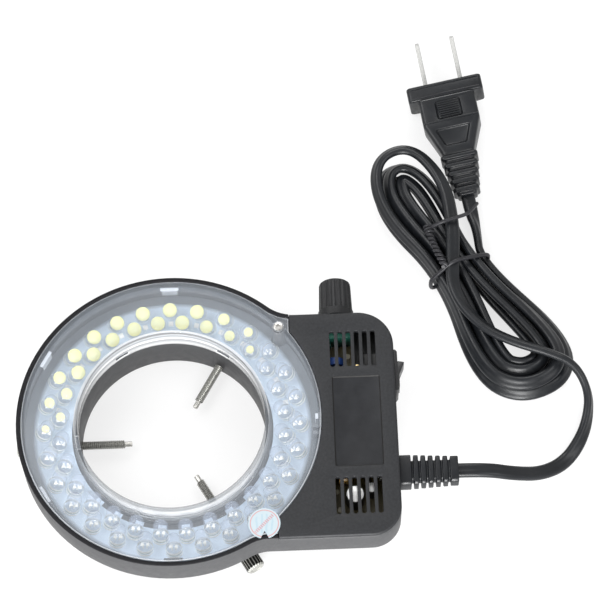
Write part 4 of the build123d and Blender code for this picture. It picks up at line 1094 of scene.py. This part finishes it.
class RINGLIGHT_OT_leds(bpy.types.Operator):
    """Set two rows of tilted LEDs on their board"""

    bl_idname = "ringlight.leds"
    bl_label = "LEDs and board"

    seat_z, tilt = 15.7, -20
    # Row, radius in millimetres, and its turn in steps
    rows = (("leds_inner", 38.7, 0.5), ("leds_outer", 43.3, 0.0))
    # Degrees round the ring from which the photograph looks, and where phosphor shows most
    viewer_at, phosphor_at = 270, 112

    def execute(self, context):
        mask = led_board_mask("white_board", (0.53, 0.64, 0.78), (0.92, 0.92, 0.92))
        coat(frame["nodes"]["led_board"], mask)
        sources = {
            "domes": self.lens(),
            "frames": self.lead_frame_glints(),
            "bases": self.base(),
            "phosphor": self.phosphor(),
        }
        for node, row_r, phase in self.rows:
            groups = {kind: [] for kind in sources}
            stand = moved(row_r, 0, self.seat_z) @ turned(self.tilt, "Y")
            for k in range(LEDS_IN_ROW):
                degrees = (k + phase) * 360 / LEDS_IN_ROW
                at = turned(degrees) @ stand
                to_viewer = (self.viewer_at - degrees + 180) % 360 - 180
                share = self.glow_share(degrees)
                filled = moved((1 - share) * 2.2, 0, 0) @ Matrix.Diagonal((share, share, 1, 1))
                places = {
                    "domes": at,
                    # The lead frame's painted glint facets are turned to face the viewer.
                    "frames": at @ turned(to_viewer),
                    "bases": at,
                    "phosphor": at @ turned(to_viewer / 2) @ filled if share else None,
                }
                for kind, place in places.items():
                    if place is not None:
                        groups[kind].append(copied(sources[kind], place))
            stand_for(node, joined(node + "_domes", groups["domes"]))
            for kind, slot in (
                ("frames", "screw_steel"),
                ("bases", "led_epoxy"),
                ("phosphor", "led_epoxy"),
            ):
                finished(joined(f"{node}_{kind}", groups[kind]), slot)
        for source in sources.values():
            bpy.data.objects.remove(source)
        return {"FINISHED"}

    def glow_share(self, degrees):
        """How far the dome is filled with phosphor, most at the back of the ring."""
        off = abs((degrees - self.phosphor_at + 180) % 360 - 180)
        share = min(1.0, 1.2 - (off - 20) / 75)
        return share if share > 0.5 else 0

    def lens(self):
        """One lens along +Z: a clear barrel and a dome in a darker, less clear epoxy, which is
        painted shade.
        """
        lens = cylinder("led_lens", 2.5 * MM, 0.9 * MM, 1 * MM, sides=24)
        edit(lens)
        pick(lens, "FACE", faces_up)
        raise_end(4.1)
        for rise, scale in ((0.85, 0.926), (0.7, 0.782), (0.5, 0.57), (0.2, 0.35)):
            raise_end(rise, scale)
        leave_edit()
        barrel = clear_plastic("clear_epoxy", (0.4, 0.46, 0.58), 0.1, 0.08)
        coat(lens, barrel, clear_plastic("dome_epoxy_shade", (0.3, 0.36, 0.47), 0.3, 0.08))
        # The dome's faces take the darker epoxy: painted shade in the curved top.
        for face in lens.data.polygons:
            face.material_index = int(face.center.z > 5.6 * MM)
        return smoothed(lens, 50)

    def lead_frame_glints(self):
        """The lead frame's post and cup, and pale facets towards +X that are painted glints of the
        frame seen through the lens, with a faint painted glow.
        """
        facets = []
        for side, long, wide in ((-1, 1.9, 0.9), (1, 1.5, 1.0)):
            facet = cylinder("led_glint_facet", wide * MM, 0, 0.2 * MM, "X", sides=3)
            lean = turned(-44, "Y") @ turned(side * 48 + 30, "X")
            at = moved(1.3, side * 0.95, 4.3) @ lean @ Matrix.Diagonal((1, 1, long / 2, 1))
            facet.data.transform(at)
            facets.append(facet)
        post = block("led_post", (-0.3, -0.9, 1.0), (0.3, -0.4, 3.4))
        cup = block("led_cup", (-0.3, 0.4, 1.0), (0.3, 0.9, 3.0))
        one = joined("led_frame_glints", [*facets, post, cup])
        edit(one)
        bpy.ops.mesh.select_all(action="SELECT")
        bpy.ops.mesh.normals_make_consistent(inside=False)
        leave_edit()
        return coat(one, painted_glint("lead_frame_glints", (0.8, 0.81, 0.76)))

    def base(self):
        """The clear flange at the foot of the lens as open bands: pale bands of painted highlight,
        a grey-green band of painted shade between them, all with a faint painted glow.
        """
        white = painted_glint("band_painted_highlight", (0.8, 0.82, 0.8))
        grey = painted_glint("band_painted_shade", (0.4, 0.45, 0.38))
        bands = []
        # Two pale bands of painted highlight round a grey-green band of painted shade.
        for r, low, high, paint in (
            (2.88, -0.1, 0.7, white),
            (2.7, 0.75, 1.25, grey),
            (2.62, 1.3, 2.1, white),
        ):
            band = cylinder("led_band", r * MM, low * MM, (high - low) * MM, sides=28)
            bands.append(coat(band, paint))
        base = joined("led_base", bands)
        edit(base)
        pick(base, "FACE", lambda f: abs(f.normal.z) > 0.9)
        bpy.ops.mesh.delete(type="FACE")
        leave_edit()
        return smoothed(base, 40)

    def phosphor(self):
        """The phosphor as it fills the lens when seen along it: a flat disc."""
        disc = cylinder("led_phosphor", 2.38 * MM, 5.7 * MM, 0.3 * MM, sides=28)
        glow = painted_part("phosphor", tuple(colours().glow), (0.86, 0.84, 0.3), 0.0015, 0.6)
        return smoothed(coat(disc, glow), 40)


class RINGLIGHT_OT_ear_screws(bpy.types.Operator):
    """Set the two small screws at the ears and stick the paper seal over one"""

    bl_idname = "ringlight.ear_screws"
    bl_label = "Ear screws and seal"

    head_r, shank_r = 1.6 * MM, 0.8 * MM
    seal_r = 5.25 * MM

    def execute(self, context):
        low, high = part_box("ear_screws")
        r = self.head_r
        parts = []
        for x, y in ((high.x - r, high.y - r), (low.x + r, low.y + r)):
            head = cylinder("screw_head", r, high.z - MM, MM, x=x, y=y, sides=40)
            soft_ended(head, 0.2 * MM)
            socket = cylinder("hex_socket", 0.8 * MM, high.z - 0.6 * MM, MM, x=x, y=y, sides=6)
            shank = cylinder(
                "screw_shank", self.shank_r, low.z, high.z - MM - low.z, x=x, y=y, sides=20
            )
            with_modifier(
                head, "BOOLEAN", operation="DIFFERENCE", solver="EXACT", object=socket
            )
            bpy.data.objects.remove(socket)
            parts += [smoothed(head), smoothed(shank)]
        bright = turned_steel("bright_steel", (0.5, 0.49, 0.47))
        stand_for("ear_screws", joined("small_screws", parts), bright)
        self.stick_seal()
        return {"FINISHED"}

    def stick_seal(self):
        """The round seal, its rim drawn in where the photograph's dips."""
        low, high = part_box("paper_seal")
        middle = (low + high) / 2
        y = low.y + (high.y - low.y) / 2 + 0.04 * MM
        seal = cylinder("round_seal", self.seal_r, low.z, high.z - low.z, x=middle.x, y=y)
        edit(seal)
        pick(seal, "VERT", lambda v: v.co.y < low.y + 0.2 * MM and abs(v.co.x - middle.x) < MM)
        bpy.ops.transform.resize(value=(0.1, 1, 1))
        bpy.ops.transform.translate(value=(0, 2.6 * MM, 0))
        leave_edit()
        stand_for("paper_seal", seal, paper_print("printed_paper", middle))


class RINGLIGHT_OT_thumbscrews(bpy.types.Operator):
    """Turn three thumbscrews with a fine thread, a dog point and a knurled head"""

    bl_idname = "ringlight.thumbscrews"
    bl_label = "Thumbscrews"

    # A thumbscrew lies along +X at this height; each part by its start and length
    axis_z = 3.5 * MM
    tip_x, tip_long, tip_r = 14.3 * MM, 2.6 * MM, 0.9 * MM
    thread_x, thread_long, thread_r = 16.7 * MM, 28.6 * MM, 1.5 * MM
    head_x, head_long, head_r = 45.2 * MM, 8 * MM, 3.15 * MM
    rim_r, groove_r = 3.1 * MM, 3.05 * MM

    def execute(self, context):
        screw = self.one()
        for k in range(3):
            copy = copied(screw, turned(60 + 120 * k))
            copy.name = copy.data.name = f"knurled_screw_{k + 1}"
            stand_for(f"thumbscrew_{k + 1}", copy, body=f"clamp_screw_{k + 1}")
        bpy.data.objects.remove(screw)
        return {"FINISHED"}

    def one(self):
        """A thumbscrew of steel with painted shade: darker on the thread's flanks that face its
        tip, near black in the knurl's grooves and on its inner end, grey on the rest of the head.
        """
        tip = cylinder(
            "dog_point", self.tip_r, self.tip_x, self.tip_long, "X", z=self.axis_z, sides=24
        )
        soft_ended(tip, 0.25 * MM, self.at_tip, "EDGE")
        thread, head = self.thread(), self.head()
        steels = [steel_finish()]
        # Darker copies of the steel, for painted shade.
        for name, shade in (("flank_steel_shade", 0.24), ("groove_steel_shade", 0.01), ("end_steel_shade", 0.3)):
            steels.append(turned_steel(name, (shade, shade, 0.93 * shade), 0.36, 0.5))
        for piece in (tip, thread, head):
            coat(piece, *steels)
        # Painted shade on the thread's flanks that face the tip.
        for face in thread.data.polygons:
            face.material_index = int(face.normal.x < -0.2)
        # Painted shade on the head: near black in the grooves and on the inner end, grey on the
        # rest.
        for face in head.data.polygons:
            in_groove = self.off_axis(face.center) < self.groove_r and face.normal.x <= 0.3
            face.material_index = 2 if in_groove else 3
        return joined("thumbscrew", [tip, thread, head])

    def off_axis(self, place):
        return math.hypot(place.y, place.z - self.axis_z)

    def at_tip(self, edge):
        """Whether an edge runs round the point's end."""
        middle = (edge.verts[0].co + edge.verts[1].co) / 2
        return middle.x < self.tip_x + 0.01 * MM

    def thread(self):
        """A 60 degree thread wound on with the Screw modifier."""
        pitch = sizes().thread_pitch
        deselect_all()
        bpy.ops.mesh.primitive_plane_add(size=pitch)
        thread = new_piece("thread")
        edit(thread)
        pick(thread, "VERT", lambda v: v.co.y < 0)
        bpy.ops.mesh.delete(type="VERT")
        bpy.ops.mesh.select_all(action="SELECT")
        bpy.ops.mesh.subdivide(number_cuts=1)
        pick(thread, "VERT", lambda v: abs(v.co.x) < pitch / 8)
        deep = 0.4 * pitch
        bpy.ops.transform.translate(value=(0, deep, 0))
        bpy.ops.mesh.select_all(action="SELECT")
        bpy.ops.transform.translate(value=(pitch / 2, self.thread_r - deep - pitch / 2, 0))
        leave_edit()
        with_modifier(
            thread,
            "SCREW",
            axis="X",
            screw_offset=pitch,
            iterations=int(self.thread_long / pitch),
            steps=16,
            render_steps=16,
            use_merge_vertices=True,
            use_normal_calculate=True,
        )
        thread.location = (self.thread_x, 0, self.axis_z)
        return smoothed(rooted(thread), 20)

    def head(self):
        """The knurled head, bevelled at both ends, with a shallow turned dish in its end."""
        teeth = sizes().knurl_teeth
        x, z = self.head_x, self.axis_z
        head = cylinder("knurled_head", self.head_r, x, self.head_long, "X", z=z, sides=teeth * 4)
        edit(head)
        pick(head, "FACE", lambda f: f.normal.x > 0.9)
        bpy.ops.mesh.inset(thickness=0.9 * MM)
        bpy.ops.mesh.extrude_region_move(TRANSFORM_OT_translate={"value": (-0.3 * MM, 0, 0)})
        bpy.ops.transform.resize(value=(1, 0.8, 0.8))
        pick(head, "EDGE", self.on_end)
        bpy.ops.mesh.bevel(offset=0.5 * MM, segments=1)
        step = math.pi / teeth / 2

        def in_flute(vert):
            turn = round(math.atan2(vert.co.y, vert.co.z - z) / step)
            return self.off_axis(vert.co) > self.rim_r and turn % 4 > 1

        pick(head, "VERT", in_flute)
        bpy.ops.transform.resize(value=(1, 0.9, 0.9), center_override=(x, 0, z))
        leave_edit()
        return smoothed(head, 15)

    def on_end(self, edge):
        """Whether an edge runs round the outside of one of the head's ends."""
        a, b = (v.co for v in edge.verts)
        near = 0.01 * MM
        end_x = self.head_x + self.head_long
        at_end = min(abs(a.x - self.head_x), abs(a.x - end_x)) < near
        outside = min(self.off_axis(a), self.off_axis(b)) > self.rim_r
        return outside and at_end and abs(a.x - b.x) < near


class RINGLIGHT_OT_knob(bpy.types.Operator):
    """Mould the fluted brightness knob and set it on its shaft"""

    bl_idname = "ringlight.knob"
    bl_label = "Brightness knob"

    skirt, wall_r = 2.6, 4.9 * MM
    points_in_flute = 6
    # Those of its points that are drawn in, and the share that is left
    flute_shares = {3: 0.955, 4: 0.93, 5: 0.955}

    def execute(self, context):
        low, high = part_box("brightness_knob")
        middle = (low + high) / 2
        r, length = (high.x - low.x) / 2, high.y - low.y
        sides = sizes().knob_flutes * self.points_in_flute
        knob = cylinder("fluted_knob", r, 0, self.skirt * MM, sides=sides)
        edit(knob)
        pick(knob, "FACE", faces_up)
        bpy.ops.mesh.inset(thickness=0.22 * MM)
        foot, top = (0.3, 0.985), ((0.65, 0.95), (0.5, 0.88), (0.2, 0.86))
        wall = length / MM - self.skirt - foot[0] - sum(rise for rise, _ in top)
        for rise, scale in (foot, (wall, 0.945), *top):
            raise_end(rise, scale)
        bpy.ops.mesh.inset(thickness=0.5 * MM)
        raise_end(-0.35, 0.97)
        low_z, high_z = (self.skirt + 0.1) * MM, length - 0.9 * MM
        step = 2 * math.pi / sides
        for place, share in self.flute_shares.items():

            def in_flute(vert):
                turn = round(math.atan2(vert.co.y, vert.co.x) / step) % self.points_in_flute
                on_wall = math.hypot(vert.co.x, vert.co.y) > self.wall_r
                return low_z < vert.co.z < high_z and on_wall and turn == place

            pick(knob, "VERT", in_flute)
            bpy.ops.transform.resize(value=(share, share, 1), center_override=(0, 0, 0))
        leave_edit()
        knob.location = (middle.x, low.y, middle.z)
        knob.rotation_euler = (-math.pi / 2, 0, 0)
        smoothed(rooted(knob), 25)
        black = satin_plastic("knob_black", (0.01, 0.0102, 0.011), 0.42, 0.25)
        stand_for("brightness_knob", knob, black, body="dial")
        dressed("dial_shaft", "flatted_shaft", 0.15 * MM, steel_finish(), body="dial")
        return {"FINISHED"}


class RINGLIGHT_OT_switch(bpy.types.Operator):
    """Set the rocker switch in the side of the box"""

    bl_idname = "ringlight.switch"
    bl_label = "Rocker switch"

    def execute(self, context):
        black = satin_plastic("switch_black", (0.01, 0.01, 0.011), 0.34)
        dressed("switch_body", "switch_frame", 0.18 * MM, black)
        dressed("rocker", "rocker_cap", 0.3 * MM, black, segments=3, body="rocker_key")
        brass = turned_steel("stamped_brass", (0.72, 0.55, 0.27))
        dressed("switch_terminals", "switch_tabs", 0.1 * MM, brass)
        return {"FINISHED"}


class RINGLIGHT_OT_boot(bpy.types.Operator):
    """Mould the ribbed strain relief"""

    bl_idname = "ringlight.boot"
    bl_label = "Strain relief"

    def execute(self, context):
        dressed("strain_relief", "ribbed_boot", 0.35 * MM, cord_finish(), segments=3)
        return {"FINISHED"}


class RINGLIGHT_OT_inside(bpy.types.Operator):
    """Finish the driver board, its components, the dimmer, the wires and the case screws"""

    bl_idname = "ringlight.inside"
    bl_label = "Inside of the box"

    # Node, finish and its two near shades
    components = (
        ("potentiometer", "dimmer_green", (0.015, 0.1, 0.075), (0.025, 0.14, 0.1)),
        ("varistor", "varistor_blue", (0.02, 0.06, 0.24), (0.03, 0.08, 0.3)),
        ("film_capacitor", "film_brown", (0.3, 0.17, 0.05), (0.4, 0.24, 0.07)),
        ("transformer", "taped_coil", (0.5, 0.4, 0.08), (0.6, 0.5, 0.12)),
    )
    wires = (
        ("led_wires", "grey_wire", (0.1, 0.11, 0.125), (0.13, 0.14, 0.155)),
        ("switch_wires", "red_wire", (0.4, 0.02, 0.02), (0.5, 0.04, 0.03)),
        ("mains_wires", "white_wire", (0.6, 0.6, 0.58), (0.7, 0.7, 0.68)),
    )

    def execute(self, context):
        sleeve = painted_part("shrunk_sleeve", (0.012,) * 3, (0.02,) * 3)
        bright = turned_steel("can_aluminium", (0.93, 0.93, 0.92), 0.32, 0.6)
        for node in ("capacitor_large", "capacitor_small"):
            self.can(node, sleeve, bright)
        for node, name, colour, shade in self.components:
            dressed(node, node + "_part", 0.12 * MM, painted_part(name, colour, shade))
        mask = circuit_board("driver_board", (0.1, 0.08, 0.03), (0.5, 0.47, 0.36))
        coat(frame["nodes"]["control_board"], mask)
        for node, name, colour, shade in self.wires:
            piece = smoothed(cad_copy(node, node + "_insulation"))
            stand_for(node, piece, painted_part(name, colour, shade))
        oxide = turned_steel("black_oxide", (0.035, 0.035, 0.038), 0.42, 0.6)
        dressed("case_screws", "lid_screws", 0.1 * MM, oxide)
        return {"FINISHED"}

    def can(self, node, sleeve_coat, end_coat):
        """An electrolytic can: a shrunk sleeve with a crimp, and a bright end."""
        low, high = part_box(node)
        middle = (low + high) / 2
        r, height = (high.x - low.x) / 2, high.z - low.z
        parts = []
        for name, part_r, start, long, soft, material in (
            ("can_sleeve", r, low.z, height - 0.3 * MM, 0.3 * MM, sleeve_coat),
            ("can_end", r - 0.35 * MM, high.z - 0.5 * MM, 0.5 * MM, 0.2 * MM, end_coat),
        ):
            part = cylinder(name, part_r, start, long, x=middle.x, y=middle.y)
            parts.append(smoothed(coat(soft_ended(part, soft), material)))
        stand_for(node, joined(node + "_can", parts))


OPERATORS = (
    RINGLIGHT_OT_stage,
    RINGLIGHT_OT_plug,
    RINGLIGHT_OT_cord,
    RINGLIGHT_OT_tie,
    RINGLIGHT_OT_housing,
    RINGLIGHT_OT_lid,
    RINGLIGHT_OT_cover,
    RINGLIGHT_OT_leds,
    RINGLIGHT_OT_ear_screws,
    RINGLIGHT_OT_thumbscrews,
    RINGLIGHT_OT_knob,
    RINGLIGHT_OT_switch,
    RINGLIGHT_OT_boot,
    RINGLIGHT_OT_inside,
)


class RINGLIGHT_PT_panel(bpy.types.Panel):
    """The ring light's sizes, colours and pieces"""

    bl_idname = "RINGLIGHT_PT_panel"
    bl_label = "Ring light"
    bl_space_type = "VIEW_3D"
    bl_region_type = "UI"
    bl_category = "Ring light"

    def draw(self, context):
        for group in (sizes(), colours()):
            column = self.layout.column()
            for name in group.__annotations__:
                column.prop(group, name)
        column = self.layout.column()
        for operator in OPERATORS:
            column.operator(operator.bl_idname)


CLASSES = (RingLightSizes, RingLightColours, *OPERATORS, RINGLIGHT_PT_panel)


def register():
    for cls in CLASSES:
        bpy.utils.register_class(cls)
    bpy.types.Scene.ring_light_sizes = PointerProperty(type=RingLightSizes)
    bpy.types.Scene.ring_light_colours = PointerProperty(type=RingLightColours)


def unregister():
    del bpy.types.Scene.ring_light_colours
    del bpy.types.Scene.ring_light_sizes
    for cls in reversed(CLASSES):
        bpy.utils.unregister_class(cls)


def main():
    register()
    for operator in OPERATORS:
        name = operator.bl_idname.split(".")[1]
        getattr(bpy.ops.ringlight, name)()


if __name__ == "__main__":
    main()
